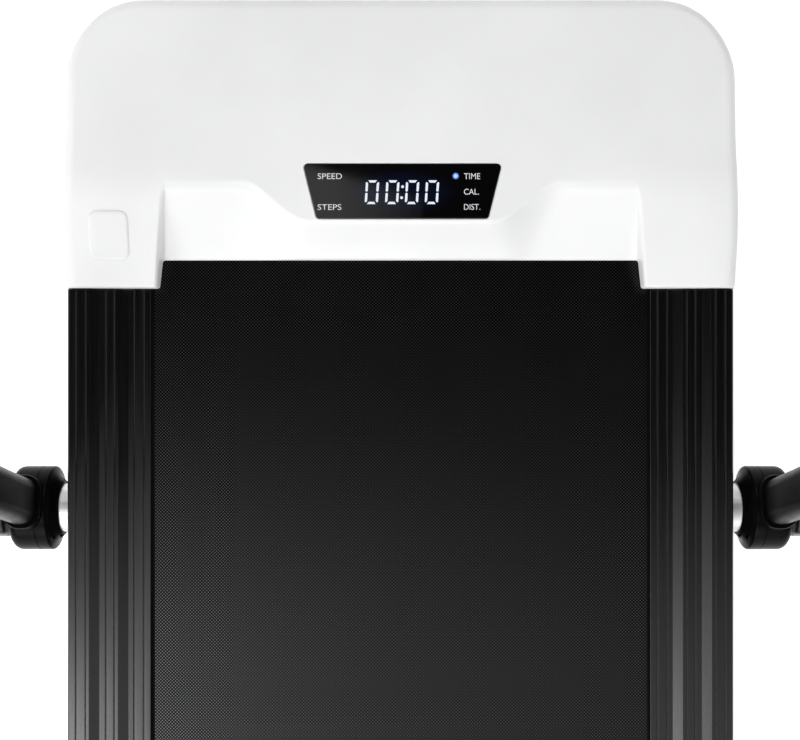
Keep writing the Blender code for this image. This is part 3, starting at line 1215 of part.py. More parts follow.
def u_sweep(name, section, foot, pivot, surface=None):
    """A section swept up one leg, across the bar and down the other leg."""
    guide_section = bpy.data.curves.new(f"{name}_section", "CURVE")
    guide_section.dimensions = "2D"
    add_loop(guide_section, section)
    section_object = bpy.data.objects.new(f"{name}_section", guide_section)
    CUTTERS.objects.link(section_object)
    section_object.hide_render = True
    path = [(-LEG_X, foot)]
    for centre_x, start in ((BEND_RADIUS - LEG_X, math.pi), (LEG_X - BEND_RADIUS, math.pi / 2)):
        for step in range(BEND_STEPS + 1):
            angle = start - math.pi / 2 * step / BEND_STEPS
            path.append((centre_x + BEND_RADIUS * math.cos(angle),
                         RAIL_REACH - BEND_RADIUS + BEND_RADIUS * math.sin(angle)))
    path.append((LEG_X, foot))
    curve = bpy.data.curves.new(name, "CURVE")
    curve.dimensions = "3D"
    curve.twist_mode = "Z_UP"
    curve.bevel_mode = "OBJECT"
    curve.bevel_object = section_object
    curve.use_fill_caps = True
    spline = curve.splines.new("POLY")
    spline.points.add(len(path) - 1)
    for point, (x, y) in zip(spline.points, path):
        point.co = (x, y, 0, 1)
    guide = bpy.data.objects.new(name, curve)
    guide.rotation_euler = (math.pi / 2, 0, 0)
    sweep = curve_to_mesh(guide, name, surface, pivot)
    bpy.data.objects.remove(section_object, do_unlink=True)
    return sweep


def handrail_tube(pivot):
    foot = PIVOT_TUBE_RADIUS + LEG_FOOT_WALL + 2 * GAP
    tube = u_sweep("handrail_tube", leg_section(), foot, pivot, BLACK_PAINT)
    boolean(tube, u_sweep("handrail_bore", leg_section(-LEG_WALL), foot - CUT_PAST, pivot))


def bar_section(extra):
    """Section of the crossbar, as (depth, height) about its middle."""
    return [(y, x + RAIL_REACH) for x, y in reversed(leg_section(extra))]


def grips(pivot):
    for label, side in SIDES:
        ends = sorted((side * GRIP_START, side * GRIP_END))
        prism(f"grip_{label}", [bar_section(GAP + GRIP_THICKNESS), bar_section(GAP)], *ends, "X", FOAM,
              parent=pivot)


def device_holder(pivot):
    half = LEG_DEPTH / 2 + GAP
    outer = half + HOLDER_WALL
    seat = BAR_HIGH + GAP
    deck_top = seat + HOLDER_WALL
    split = RAIL_REACH + GAP / 2
    back_x = HOLDER_SLOT - outer + HOLDER_WALL
    lean = math.tan(HOLDER_BACK_LEAN)
    height = HOLDER_BACK_HEIGHT
    outline = [
        (-half, split), (-half, seat), (half, seat), (half, split), (outer, split), (outer, deck_top),
        (back_x + HOLDER_WALL, deck_top), (back_x + HOLDER_WALL + lean * height, deck_top + height),
        (back_x + lean * height, deck_top + height), (back_x, deck_top),
        (HOLDER_WALL - outer, deck_top), (HOLDER_WALL - outer, deck_top + HOLDER_LIP),
        (-outer, deck_top + HOLDER_LIP), (-outer, split),
    ]
    prism("device_holder", [list(reversed(outline))], -HOLDER_HALF, HOLDER_HALF, "X", BLACK_PLASTIC,
          parent=pivot)
    low = BAR_LOW - GAP
    split -= GAP
    clamp = [(-outer, split), (-outer, low - HOLDER_WALL), (outer, low - HOLDER_WALL), (outer, split),
             (half, split), (half, low), (-half, low), (-half, split)]
    prism("holder_clamp", [clamp], -HOLDER_HALF, HOLDER_HALF, "X", BLACK_PLASTIC, parent=pivot)


def lock_knob(label, side, pivot):
    washer = [(WASHER_RADIUS, WASHER_X + WASHER_THICKNESS), (WASHER_RADIUS, WASHER_X),
              (SHANK_RADIUS + GAP, WASHER_X), (SHANK_RADIUS + GAP, WASHER_X + WASHER_THICKNESS)]
    turned(f"knob_washer_{label}", outward(washer, side), "X", (0, 0, 0), MEDIUM, STEEL, closed=True,
           parent=pivot)
    count = KNOB_LOBES * KNOB_OUTLINE_STEPS
    outline = []
    for index in range(count):
        angle = 2 * math.pi * index / count
        radius = KNOB_RADIUS + KNOB_LOBE_HEIGHT * math.cos(KNOB_LOBES * angle)
        outline.append((radius * math.cos(angle), radius * math.sin(angle)))
    ends = sorted((side * KNOB_X, side * (KNOB_X + KNOB_LENGTH)))
    knob = prism(f"lock_knob_{label}", [outline], *ends, "X", BLACK_PLASTIC, parent=pivot)
    bevel(knob, KNOB_BEVEL, 2)
    inside = KNOB_X + KNOB_LENGTH / 10
    tip = PIVOT_TUBE_END_X - SHANK_REACH
    stem = [(0, inside), (KNOB_NECK_RADIUS, inside), (KNOB_NECK_RADIUS, NECK_X), (SHANK_RADIUS, NECK_X),
            (SHANK_RADIUS, tip), (0, tip)]
    boolean(knob, turned(f"knob_stem_{label}", outward(stem, side), "X", (0, 0, 0), COARSE, parent=pivot),
            "UNION")


def handrail():
    pivot = bpy.data.objects.new("handrail_pivot", None)
    pivot.location = (0, PIVOT_Y, PIVOT_Z)
    pivot.rotation_euler = (-LEAN, 0, 0)
    PARTS.objects.link(pivot)
    for label, side in SIDES:
        pivot_tube(label, side)
        hinge_hub(label, side, pivot)
        lock_knob(label, side, pivot)
    handrail_tube(pivot)
    grips(pivot)
    device_holder(pivot)


def main():
    frame()
    deck()
    running_belt()
    roller("front_roller", FRONT_ROLLER_Y)
    roller("rear_roller", REAR_ROLLER_Y)
    axle("front_axle", FRONT_ROLLER_Y)
    tension_bolts(axle("rear_axle", REAR_ROLLER_Y))
    roller_pulley()
    motor()
    drive_belt()
    control_board()
    heat_sink()
    hood_cover()
    belly_pan()
    display()
    power_socket()
    power_switch()
    breaker()
    for label, side in SIDES:
        side_rail(label, side)
        end_cap(label, side)
    feet()
    transport_wheels()
    handrail()


main()
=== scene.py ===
import json
import math

import bmesh
import bpy
from mathutils import Matrix, Vector


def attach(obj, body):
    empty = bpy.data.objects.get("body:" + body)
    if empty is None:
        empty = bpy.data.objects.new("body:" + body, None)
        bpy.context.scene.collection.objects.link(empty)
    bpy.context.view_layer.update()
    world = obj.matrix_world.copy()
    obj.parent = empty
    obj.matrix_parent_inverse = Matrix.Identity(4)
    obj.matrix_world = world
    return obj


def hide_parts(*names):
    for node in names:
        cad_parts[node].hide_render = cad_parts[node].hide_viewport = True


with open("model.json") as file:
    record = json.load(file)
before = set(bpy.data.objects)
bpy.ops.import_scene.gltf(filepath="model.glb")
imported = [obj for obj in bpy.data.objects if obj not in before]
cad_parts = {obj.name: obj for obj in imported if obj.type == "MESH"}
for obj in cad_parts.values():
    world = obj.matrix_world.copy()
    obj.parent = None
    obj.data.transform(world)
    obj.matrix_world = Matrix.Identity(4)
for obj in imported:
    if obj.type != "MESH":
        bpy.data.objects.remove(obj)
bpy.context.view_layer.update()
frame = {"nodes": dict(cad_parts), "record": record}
NODES = frame["nodes"]
SIDES = (("left", -1), ("right", 1))
CAMERA_X, CAMERA_Y, CAMERA_Z = -0.0004, 0.3296, 1.05


def smooth_step(value):
    value = min(max(value, 0.0), 1.0)
    return value * value * (3 - 2 * value)


# Camera, lights and floor

def shown(name, data):
    obj = bpy.data.objects.new(name, data)
    bpy.context.scene.collection.objects.link(obj)
    return obj


def soft_box(name, place, target, size, radiance):
    """A rectangular lamp whose face shows the given radiance in a mirror."""
    light = bpy.data.lights.new(name, "AREA")
    light.shape = "RECTANGLE"
    light.size, light.size_y = size
    light.energy = radiance * math.pi * size[0] * size[1]
    obj = shown(name, light)
    obj.location = place
    obj.rotation_euler = (Vector(target) - obj.location).to_track_quat("-Z", "Y").to_euler()
    obj.visible_camera = False


def overhead(name, low, high, height, radiance):
    """A flat lamp over a rectangle of the floor, for the glossy tops to mirror."""
    middle = [(a + b) / 2 for a, b in zip(low, high)]
    soft_box(name, (*middle, height), (*middle, 0), [b - a for a, b in zip(low, high)], radiance)


def camera():
    data = bpy.data.cameras.new("camera")
    data.sensor_width = 36
    data.lens = 53.4375
    obj = shown("camera", data)
    obj.location = (CAMERA_X, CAMERA_Y, CAMERA_Z)
    bpy.context.scene.camera = obj


def pale_walls(world):
    """White round the horizon, as studio walls are, under a dim ceiling; white where the camera looks."""
    made = Nodes(world.node_tree)
    background = made.tree.nodes["Background"].inputs
    height = made.split(made.node("TexCoord").outputs["Generated"])["Z"]
    fade = made.spread(height, 1.0, 0.002, 0.15, 0.45)
    made.feed(background["Color"], (1, 1, 1))
    made.feed(background["Strength"],
              made.math("MAXIMUM", made.node("LightPath").outputs["Is Camera Ray"], fade))


def pale_floor():
    """White wherever it is looked at, directly, in a mirror or through glass, and whiter far off."""
    floor = add_mesh("floor", shaped(bmesh.ops.create_grid, x_segments=1, y_segments=1, size=8))
    made = Finish("floor_white", (0.80, 0.80, 0.80), 0.9)
    made.set("Emission Color", (1, 1, 1))
    rays = made.node("LightPath").outputs
    seen = rays["Is Camera Ray"]
    for other in ("Is Glossy Ray", "Is Transmission Ray"):
        seen = made.math("MAXIMUM", seen, rays[other])
    glow = made.spread(made.length(made.coordinates), 0.74, 1.0, 1.6, 3.2, "LINEAR")
    made.set("Emission Strength", made.math("MULTIPLY", seen, glow))
    floor.data.materials.append(made.material)


def studio():
    scene = bpy.context.scene
    scene.view_settings.view_transform = "Standard"
    scene.world = bpy.data.worlds.new("studio")
    scene.world.use_nodes = True
    pale_walls(scene.world)
    pale_floor()
    aimed_at = (0, 0.45, 0.1)
    for name, place, size, radiance in (
        ("rear_light", (-0.3, -2.7, 1.6), (3.0, 1.4), 4.85),
        ("front_light", (0.0, 2.1, 1.7), (2.6, 1.0), 2.1),
        ("left_light", (-1.9, 0.5, 1.5), (2.0, 1.0), 3.3),
        ("right_light", (1.9, 0.5, 1.5), (2.0, 1.0), 1.6),
    ):
        soft_box(name, place, aimed_at, size, radiance)
    ceiling()
    card()


def ceiling():
    """A ceiling that grows lighter towards the rear, and most of all at its far left."""
    height = 2.3
    rows = (0.22, 0.10, -0.02, -0.14, -0.26, -0.38, -0.50, -0.62, -1.30)
    left_edge = (0.04, 0.13, 0.32, 0.58, 1.25, 2.8, 5.8, 10.0)
    left_inside = (0.36, 0.75, 1.2, 1.7, 1.95, 1.85, 1.5, 1.2)
    columns = [("left", -0.55, 0.0, (0.02, 0.09, 0.38, 0.95, 1.5, 1.75, 1.6, 1.3)),
               ("right", 0.0, 0.55, (0.02, 0.07, 0.26, 0.62, 1.05, 1.35, 1.3, 1.15)),
               ("far_right", 0.55, 1.6, (0.02, 0.08, 0.22, 0.42, 0.58, 0.74, 0.86, 1.0))]
    for name, left, right, share in (("left_a", -1.6, -0.82, 1.0), ("left_b", -0.82, -0.74, 0.78),
                                     ("left_c", -0.74, -0.66, 0.35), ("left_d", -0.66, -0.55, 0.0)):
        levels = [share * a + (1 - share) * b for a, b in zip(left_edge, left_inside)]
        columns.append((name, left, right, levels))
    for name, left, right, levels in columns:
        for index, (front, rear, radiance) in enumerate(zip(rows, rows[1:], levels)):
            overhead(f"ceiling_{name}_{index}", (left, rear), (right, front), height, radiance)


def card():
    """A white card in narrow strips, whose slanting edge shows in the display, fading to the right."""
    left, front, height, width, brightest = -0.27, 0.70, 2.2, 0.027, 0.95
    for index in range(12):
        middle = left + width * (index + 0.5)
        rear = 0.8465 - 0.29 * (middle + 0.236)
        fade = smooth_step((middle + 0.21) / 0.34)
        overhead(f"card_{index}", (middle - width / 2, front), (middle + width / 2, rear), height,
                 brightest * (1 - fade))


# Finishes

class Nodes:
    """A node tree, with short ways to add nodes and join them."""

    def __init__(self, tree):
        self.tree = tree

    def feed(self, socket, value):
        """Gives a socket another node's output, a number, a place or a colour."""
        if isinstance(value, bpy.types.NodeSocket):
            self.tree.links.new(value, socket)
        else:
            socket.default_value = (*value, 1) if socket.type == "RGBA" else value

    def node(self, kind, settings=(), values=()):
        node = self.tree.nodes.new(f"ShaderNode{kind}")
        for name, value in dict(settings).items():
            setattr(node, name, value)
        for name, value in dict(values).items():
            self.feed(node.inputs[name], value)
        return node

    def math(self, operation, first, second):
        return self.node("Math", {"operation": operation}, {0: first, 1: second}).outputs[0]

    def length(self, vector):
        return self.node("VectorMath", {"operation": "LENGTH"}, {0: vector}).outputs["Value"]

    def split(self, vector):
        return self.node("SeparateXYZ", values={0: vector}).outputs

    def spread(self, factor, low, high, start=0.3, end=0.7, curve="SMOOTHSTEP"):
        return self.node("MapRange", {"interpolation_type": curve},
                         {"Value": factor, "From Min": start, "From Max": end, "To Min": low,
                          "To Max": high}).outputs["Result"]


class Finish(Nodes):
    """A procedural material: one Principled shader, fed by textures on Object coordinates."""

    def __init__(self, name, colour, roughness, metallic=0.0, specular=0.5):
        self.material = bpy.data.materials.new(name)
        self.material.use_nodes = True
        super().__init__(self.material.node_tree)
        self.shader = self.tree.nodes["Principled BSDF"]
        self.colour = colour
        for socket, value in (("Base Color", colour), ("Roughness", roughness),
                              ("Metallic", metallic), ("Specular IOR Level", specular)):
            self.set(socket, value)
        self.coordinates = self.node("TexCoord").outputs["Object"]

    def set(self, socket, value):
        self.feed(self.shader.inputs[socket], value)

    def texture(self, kind, output, vector=None, **values):
        return self.node(kind, values={"Vector": vector or self.coordinates, **values}).outputs[output]

    def mapped(self, scale, location=(0, 0, 0)):
        return self.texture("Mapping", "Vector", Scale=scale, Location=location)

    def noise(self, scale, detail, vector=None):
        return self.texture("TexNoise", "Fac", vector, Scale=scale, Detail=detail)

    def cells(self, scale):
        return self.texture("TexVoronoi", "Distance", Scale=scale)

    def between(self, factor, first, second, socket="Base Color"):
        """Lets a colour socket run from one colour to another along a factor from 0 to 1."""
        mix = self.node("Mix", {"data_type": "RGBA"}, {"Factor": factor, 6: first, 7: second})
        self.set(socket, mix.outputs[2])
        return mix.outputs[2]

    def shade(self, factor, dark, light, start=0.3, end=0.7):
        """Lets the colour run between two multiples of itself."""
        return self.between(self.spread(factor, 0, 1, start, end), tuple(c * dark for c in self.colour),
                            tuple(c * light for c in self.colour))

    def gloss(self, factor, low, high):
        self.set("Roughness", self.spread(factor, low, high))

    def bump(self, height, distance):
        node = self.node("Bump", values={"Strength": 1.0, "Distance": distance, "Height": height})
        self.set("Normal", node.outputs["Normal"])


def moulded(name, colour, roughness, specular, grain=2600, depth=0.00001):
    """Plastic from a tool with a fine spark-eroded grain, and faint flow marks."""
    made = Finish(name, colour, roughness, specular=specular)
    made.shade(made.noise(9, 4), 0.975, 1.02)
    made.gloss(made.noise(38, 3), roughness * 0.88, roughness * 1.12)
    made.bump(made.noise(grain, 2), depth)
    return made


def streaked(name, colour, roughness, along, metallic=0.0, contrast=(0.7, 1.5), depth=0.00001):
    """Metal drawn or brushed along one axis, its marks long that way and fine across it."""
    made = Finish(name, colour, roughness, metallic=metallic)
    fine, broad = [made.mapped([long if axis == along else short for axis in "XYZ"])
                   for long, short in ((14, 1500), (2, 300))]
    made.shade(made.noise(1, 4, broad), *contrast)
    streaks = made.noise(1, 3, fine)
    made.gloss(streaks, roughness * 0.8, roughness * 1.2)
    made.bump(streaks, depth)
    return made


WHITE = moulded("hood_white", (0.84, 0.841, 0.845), 0.44, 0.5, 1900, 0.000012)
BLACK_PLASTIC = moulded("black_plastic", (0.006, 0.006, 0.0064), 0.34, 0.3)
HUB_PLASTIC = moulded("gloss_black_plastic", (0.003, 0.003, 0.003), 0.27, 0.04, 700, 0.000012)
RAIL = streaked("rail_black", (0.0024, 0.0024, 0.0025), 0.20, "Y")
STEEL = streaked("brushed_steel", (0.84, 0.84, 0.85), 0.52, "X", 1.0, (0.94, 1.03), 0.000004)

PAINT = Finish("powder_coat", (0.004, 0.004, 0.004), 0.30, specular=0.085)
PAINT.gloss(PAINT.noise(60, 3), 0.28, 0.33)
PAINT.bump(PAINT.noise(1500, 2), 0.000006)

RUBBER = Finish("black_rubber", (0.012, 0.012, 0.012), 0.72)
RUBBER.shade(RUBBER.noise(45, 4), 0.8, 1.3)
RUBBER.bump(RUBBER.noise(700, 3), 0.00006)

FOAM = Finish("grip_foam", (0.016, 0.016, 0.017), 0.86)
# The foam is painted darker in the pits of its cells, where its bump sinks: painted shade in the pores.
FOAM.shade(FOAM.cells(1500), 0.55, 1.25, 0.1, 0.6)
FOAM.bump(FOAM.cells(1500), 0.0002)

ZINC = Finish("zinc_plate", (0.60, 0.61, 0.63), 0.34, metallic=1.0)
ZINC.shade(ZINC.cells(160), 0.86, 1.08, 0.1, 0.7)
ZINC.gloss(ZINC.noise(120, 3), 0.26, 0.42)

ALUMINIUM = Finish("cast_aluminium", (0.66, 0.66, 0.68), 0.42, metallic=1.0)
ALUMINIUM.bump(ALUMINIUM.noise(1100, 2), 0.00003)


def deck_finish():
    """Fibreboard with a black slip film on its top face."""
    made = Finish("deck_fibreboard", (0.21, 0.14, 0.085), 0.6, specular=0.1)
    height = made.split(made.coordinates)["Z"]
    core = made.shade(made.noise(420, 6), 0.7, 1.25)
    made.between(made.spread(height, 0, 1, 0.0892, 0.0894), core, (0.004, 0.004, 0.004))
    made.bump(made.noise(800, 4), 0.00005)
    return made


def board_finish():
    """Green solder mask over fine copper tracks."""
    made = Finish("circuit_board", (0.02, 0.13, 0.05), 0.38)
    made.shade(made.texture("TexBrick", "Fac", Scale=260.0), 1.0, 1.7)
    return made


def belt_finish():
    """Black belt with a fine lattice of raised dots, laid along its own way round; the dots are painted pale
    as a painted sheen.
    """
    made = Finish("belt_black", (0.005, 0.005, 0.0052), 0.3, specular=0.06)
    place = made.split(made.node("UVMap", {"uv_map": "way_round"}).outputs["UV"])
    pitch = 0.00265
    waves = [made.math("COSINE", made.math("MULTIPLY", place[axis], 2 * math.pi / pitch), 0)
             for axis in "XY"]
    dots = made.math("MULTIPLY", *waves)
    height = made.spread(dots, 0, 1, 0.0, 0.9)
    # The raised dots are painted pale here: a painted sheen on their tops, not a lighter colour of the belt.
    made.between(height, (0.0016, 0.0016, 0.0016), (0.11, 0.11, 0.114))
    made.set("Metallic", made.spread(dots, 0, 1, 0.0, 0.17))
    made.gloss(made.noise(30, 4), 0.285, 0.31)
    made.bump(height, 0.00003)
    return made


LENS_TOP = 0.128
LEAN_OF_DIGITS = 0.06
PIXEL = 0.7764e-3
LAMP_DOT = (455.7, 176)


def on_lens(x, y):
    """A place on the display from its place in the photograph's frame."""
    return (x - 400) * PIXEL + CAMERA_X, CAMERA_Y + (370 - y) * PIXEL


def glow_round(made, middle, size, edges, colours):
    """Lets the glow run from one colour at a place on the display to another round it."""
    scale = [1 / length for length in size]
    centred = made.mapped((*scale, 0), (-middle[0] * scale[0], -middle[1] * scale[1], 0))
    made.between(made.spread(made.length(centred), 0, 1, *edges), *colours, "Emission Color")
    made.set("Emission Strength", 1.0)
    return made


def lens_finish():
    """Clear black cover with the glow of the lit digits under it."""
    made = Finish("display_black", (0.002, 0.002, 0.0024), 0.05)
    made.gloss(made.noise(30, 2), 0.035, 0.06)
    return glow_round(made, (0.001, 0.4678), (0.040, 0.0165), (0.55, 1.15),
                      ((0.0012, 0.0022, 0.0110), (0.0, 0.0, 0.0)))


def lit(name, colour, strength):
    """A lit segment, a little uneven as a diffused lamp is."""
    made = Finish(name, (0.02, 0.02, 0.02), 0.4)
    made.between(made.spread(made.noise(500, 2), 0, 1), tuple(c * 0.86 for c in colour), colour,
                 "Emission Color")
    made.set("Emission Strength", strength)
    return made


def lamp_finish():
    """A small lamp, almost white in its middle and blue round its edge."""
    return glow_round(Finish("lamp_blue", (0.02, 0.02, 0.02), 0.4), on_lens(*LAMP_DOT), (1, 1),
                      (0.0004, 0.0020), ((0.62, 0.86, 1.0), (0.07, 0.25, 0.80)))


DECK = deck_finish()
BOARD = board_finish()
BELT = belt_finish()
GLASS = lens_finish()
DIGIT = lit("digit_white", (0.86, 0.93, 1.0), 1.0)
LAMP = lamp_finish()
PRINT = Finish("print_grey", (0.70, 0.71, 0.73), 0.5)
PRINT.shade(PRINT.noise(900, 2), 0.9, 1.05)


# Mesh helpers

SHARP = 35


def add_mesh(name, bm):
    mesh = bpy.data.meshes.new(name)
    bm.to_mesh(mesh)
    bm.free()
    return shown(name, mesh)


def smooth(piece, sharp):
    """Smooth shading in which the wide faces keep their own direction and the narrow ones blend."""
    mesh = piece.data
    mesh.shade_smooth()
    mesh.set_sharp_from_angle(angle=math.radians(sharp))
    limit = math.cos(math.radians(sharp))
    around = [[] for _ in mesh.vertices]
    for face in mesh.polygons:
        for vertex in face.vertices:
            around[vertex].append((face.normal.copy(), face.area))
    directions = []
    for face in mesh.polygons:
        own = face.normal
        for vertex in face.vertices:
            total = Vector()
            for normal, area in around[vertex]:
                if own.dot(normal) > limit:
                    total += normal * area
            directions.append(total.normalized() if total.length > 0 else own.copy())
    mesh.normals_split_custom_set(directions)


def new_piece(name, bm, finish, body, slot, *nodes, sharp=SHARP):
    """Makes a finished bmesh a shown piece that rides on a body and stands for CAD nodes."""
    bmesh.ops.recalc_face_normals(bm, faces=bm.faces)
    piece = add_mesh(name, bm)
    piece.data.materials.append(finish.material)
    smooth(piece, sharp)
    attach(piece, body)
    if nodes:
        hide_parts(*nodes)
    return piece


def settle(piece):
    """Applies a piece's modifiers to its mesh."""
    graph = bpy.context.evaluated_depsgraph_get()
    mesh = bpy.data.meshes.new_from_object(piece.evaluated_get(graph))
    piece.modifiers.clear()
    piece.data = mesh
    smooth(piece, SHARP)


def combine(piece, bm, operation):
    """Takes a closed bmesh out of a piece with DIFFERENCE, or joins it on with UNION."""
    bmesh.ops.recalc_face_normals(bm, faces=bm.faces)
    tool = add_mesh("tool", bm)
    modifier = piece.modifiers.new("tool", "BOOLEAN")
    modifier.operation = operation
    modifier.solver = "EXACT"
    modifier.object = tool
    settle(piece)
    bpy.data.objects.remove(tool, do_unlink=True)


def shaped(shape, *values, **options):
    """A new bmesh given its form by one of the shapes below."""
    bm = bmesh.new()
    shape(bm, *values, **options)
    return bm


def cut(piece, shape, *values):
    combine(piece, shaped(shape, *values), "DIFFERENCE")


def join(piece, shape, *values):
    combine(piece, shaped(shape, *values), "UNION")


def loop(bm, points):
    """A closed outline of edges through points."""
    verts = [bm.verts.new(point) for point in points]
    edges = [bm.edges.new((verts[index - 1], verts[index])) for index in range(len(verts))]
    return verts, edges


def plate(bm, points, shift):
    """A flat outline pushed along a vector into a solid."""
    verts, _ = loop(bm, points)
    face = bm.faces.new(verts)
    made = bmesh.ops.extrude_face_region(bm, geom=[face])["geom"]
    top = [item for item in made if isinstance(item, bmesh.types.BMVert)]
    bmesh.ops.translate(bm, verts=top, vec=shift)


def lofted(bm, rings, closed=False):
    """Skins a row of outlines that have the same number of points; its ends are capped unless it closes."""
    loops = [loop(bm, ring) for ring in rings]
    following = loops[1:] + loops[:1] if closed else loops[1:]
    for (_, first), (_, second) in zip(loops, following):
        bmesh.ops.bridge_loops(bm, edges=first + second)
    if not closed:
        bm.faces.new(loops[0][0])
        bm.faces.new(loops[-1][0])


def turned(bm, profile, centre, axis="X", steps=64, side=1):
    """Turns a profile of (radius, along) points about an axis through centre."""
    centre = Vector(centre)
    along = Vector({"X": (1, 0, 0), "Y": (0, 1, 0), "Z": (0, 0, 1)}[axis])
    out = Vector((0, 0, 1)) if axis != "Z" else Vector((0, 1, 0))
    verts = [bm.verts.new(centre + out * radius + along * place * side) for radius, place in profile]
    edges = [bm.edges.new(pair) for pair in zip(verts, verts[1:])]
    if min(profile[0][0], profile[-1][0]) > 1e-6:
        edges.append(bm.edges.new((verts[-1], verts[0])))
    bmesh.ops.spin(bm, geom=verts + edges, cent=centre, axis=along, angle=2 * math.pi, steps=steps,
                   use_merge=True)
    bmesh.ops.remove_doubles(bm, verts=bm.verts[:], dist=1e-6)


def mirrored(profile):
    """A profile that goes on to the same points on the other side."""
    return profile + [(radius, -along) for radius, along in reversed(profile)]


def soften(bm, width, segments=2, angle=25, chosen=None):
    """Bevels the edges that turn by more than an angle, or those that are chosen."""
    bmesh.ops.recalc_face_normals(bm, faces=bm.faces)
    edges = [edge for edge in bm.edges if len(edge.link_faces) == 2
             and edge.calc_face_angle(0) > math.radians(angle) and (chosen is None or chosen(edge))]
    bmesh.ops.bevel(bm, geom=edges, affect="EDGES", offset=width, segments=segments, profile=0.5,
                    clamp_overlap=True, material=-1)


def box_of(bm, low, high):
    low, high = Vector(low), Vector(high)
    made = bmesh.ops.create_cube(bm, size=1)["verts"]
    bmesh.ops.scale(bm, vec=high - low, verts=made)
    bmesh.ops.translate(bm, vec=(low + high) / 2, verts=made)


def rounded(points, radius, steps=6):
    """The same outline with every corner turned into an arc."""
    result = []
    for index, corner in enumerate(points):
        corner = Vector(corner)
        before = (Vector(points[index - 1]) - corner).normalized()
        after = (Vector(points[(index + 1) % len(points)]) - corner).normalized()
        half_angle = before.angle(after) / 2
        centre = corner + (before + after).normalized() * radius / math.sin(half_angle)
        start = corner + before * radius / math.tan(half_angle) - centre
        end = corner + after * radius / math.tan(half_angle) - centre
        turn = start.angle_signed(end)
        for step in range(steps + 1):
            result.append(tuple(centre + Matrix.Rotation(-turn * step / steps, 2) @ start))
    return result


def grown(points, distance):
    """A counter-clockwise outline moved outwards, or inwards with a negative distance."""
    result = []
    for index, corner in enumerate(points):
        corner = Vector(corner)
        before = (corner - Vector(points[index - 1])).normalized()
        after = (Vector(points[(index + 1) % len(points)]) - corner).normalized()
        normals = Vector((before.y, -before.x)), Vector((after.y, -after.x))
        middle = (normals[0] + normals[1]).normalized()
        result.append(tuple(corner + middle * distance / middle.dot(normals[0])))
    return result


def oblong(centre, size):
    (x, y), (wide, high) = centre, (size[0] / 2, size[1] / 2)
    return [(x - wide, y - high), (x + wide, y - high), (x + wide, y + high), (x - wide, y + high)]


# Hood

HOOD_HALF, HOOD_FRONT, HOOD_REAR = 0.2675, 0.6225, 0.3950
HOOD_CORNER, HOOD_RIM, HOOD_DRAFT = 0.065, 0.010, 0.001
HOOD_BOTTOM, HOOD_WALL, WALL_REACH = 0.0255, 0.0028, 0.2286
RIM_STEPS, CORNER_STEPS = 10, 28
CREST_Z, CREST_Y, FRONT_DROP = 0.128, 0.4888, 0.010
CROWN_HALF, CROWN_FADE = 0.1250, 0.02935
PAD_BEND = 0.0268
PAD_SLOPE = 0.020 / (CREST_Y - HOOD_REAR - PAD_BEND / 2)
RAMP_TOP_Y, RAMP_END_Y, RAMP_END_Z = 0.4763, 0.4177, 0.0975
RAMP_FALL = (CREST_Z - RAMP_END_Z) / (RAMP_TOP_Y - RAMP_END_Y)
PLATFORM_Y, PLATFORM_RISE, PLATFORM_BAND = 0.4447, 0.0334, 0.013
PLATFORM_BEND = (0.072, 0.128)
PLATFORM_WALL, PLATFORM_FOOT = 1.15, 0.011
PAD_LINE, PAD_ROUND, PAD_FOOT_Z = 0.187, 0.0040, 0.0965
FRAME_SLOT_X, FRAME_SLOT_Z = 0.2566, 0.0866
DECK_SLOT_X, DECK_SLOT_Z = 0.2158, 0.0943


def lower(a, b, width):
    """The lower of two values, with the corner between them rounded."""
    share = max(width - abs(a - b), 0.0) / width if width > 0 else 0.0
    return min(a, b) - share * share * width / 4


def higher(a, b, width):
    return -lower(-a, -b, width)


def pad_edge(y):
    return 0.1837 + 0.1097 * (0.4732 - y)


def along_bend(x):
    start, end = PLATFORM_BEND
    return min(max((abs(x) - start) / (end - start), 0), 1)


def platform_edge(x):
    """Where the display's platform ends towards the belt: a soft S on each side."""
    return PLATFORM_Y + PLATFORM_RISE * smooth_step(along_bend(x))


def platform_drop(x, y):
    share = along_bend(x)
    slope = PLATFORM_RISE / (PLATFORM_BEND[1] - PLATFORM_BEND[0]) * 6 * share * (1 - share)
    return higher(0, PLATFORM_WALL * (platform_edge(x) - y) / math.hypot(1, slope), 0.0024)


def corner_of(inset):
    """Half the hood's width at an inset, its corner radius there and the corner's middle."""
    half, corner = HOOD_HALF - inset, HOOD_CORNER - inset
    return half, corner, half - corner, HOOD_FRONT - inset - corner


def hood_depth(x, y, inset):
    half, corner, middle_x, middle_y = corner_of(inset)
    across, ahead = abs(x) - middle_x, y - middle_y
    if across > 0 and ahead > 0:
        return corner - math.hypot(across, ahead)
    return min(half - abs(x), HOOD_FRONT - inset - y)


def round_off(depth, radius):
    """How far a surface has dropped at a depth inside a rounded edge."""
    inside = radius - min(max(depth, 0.0), radius)
    return radius - math.sqrt(max(radius ** 2 - inside ** 2, 0.0))


def crown_drop(x, y):
    if y > CREST_Y:
        return FRONT_DROP * ((y - CREST_Y) / (HOOD_FRONT - CREST_Y)) ** 2
    behind = CREST_Y - y
    fall = PAD_SLOPE * (behind ** 2 / (2 * PAD_BEND) if behind < PAD_BEND else behind - PAD_BEND / 2)
    return fall * smooth_step((abs(x) - CROWN_HALF) / CROWN_FADE)


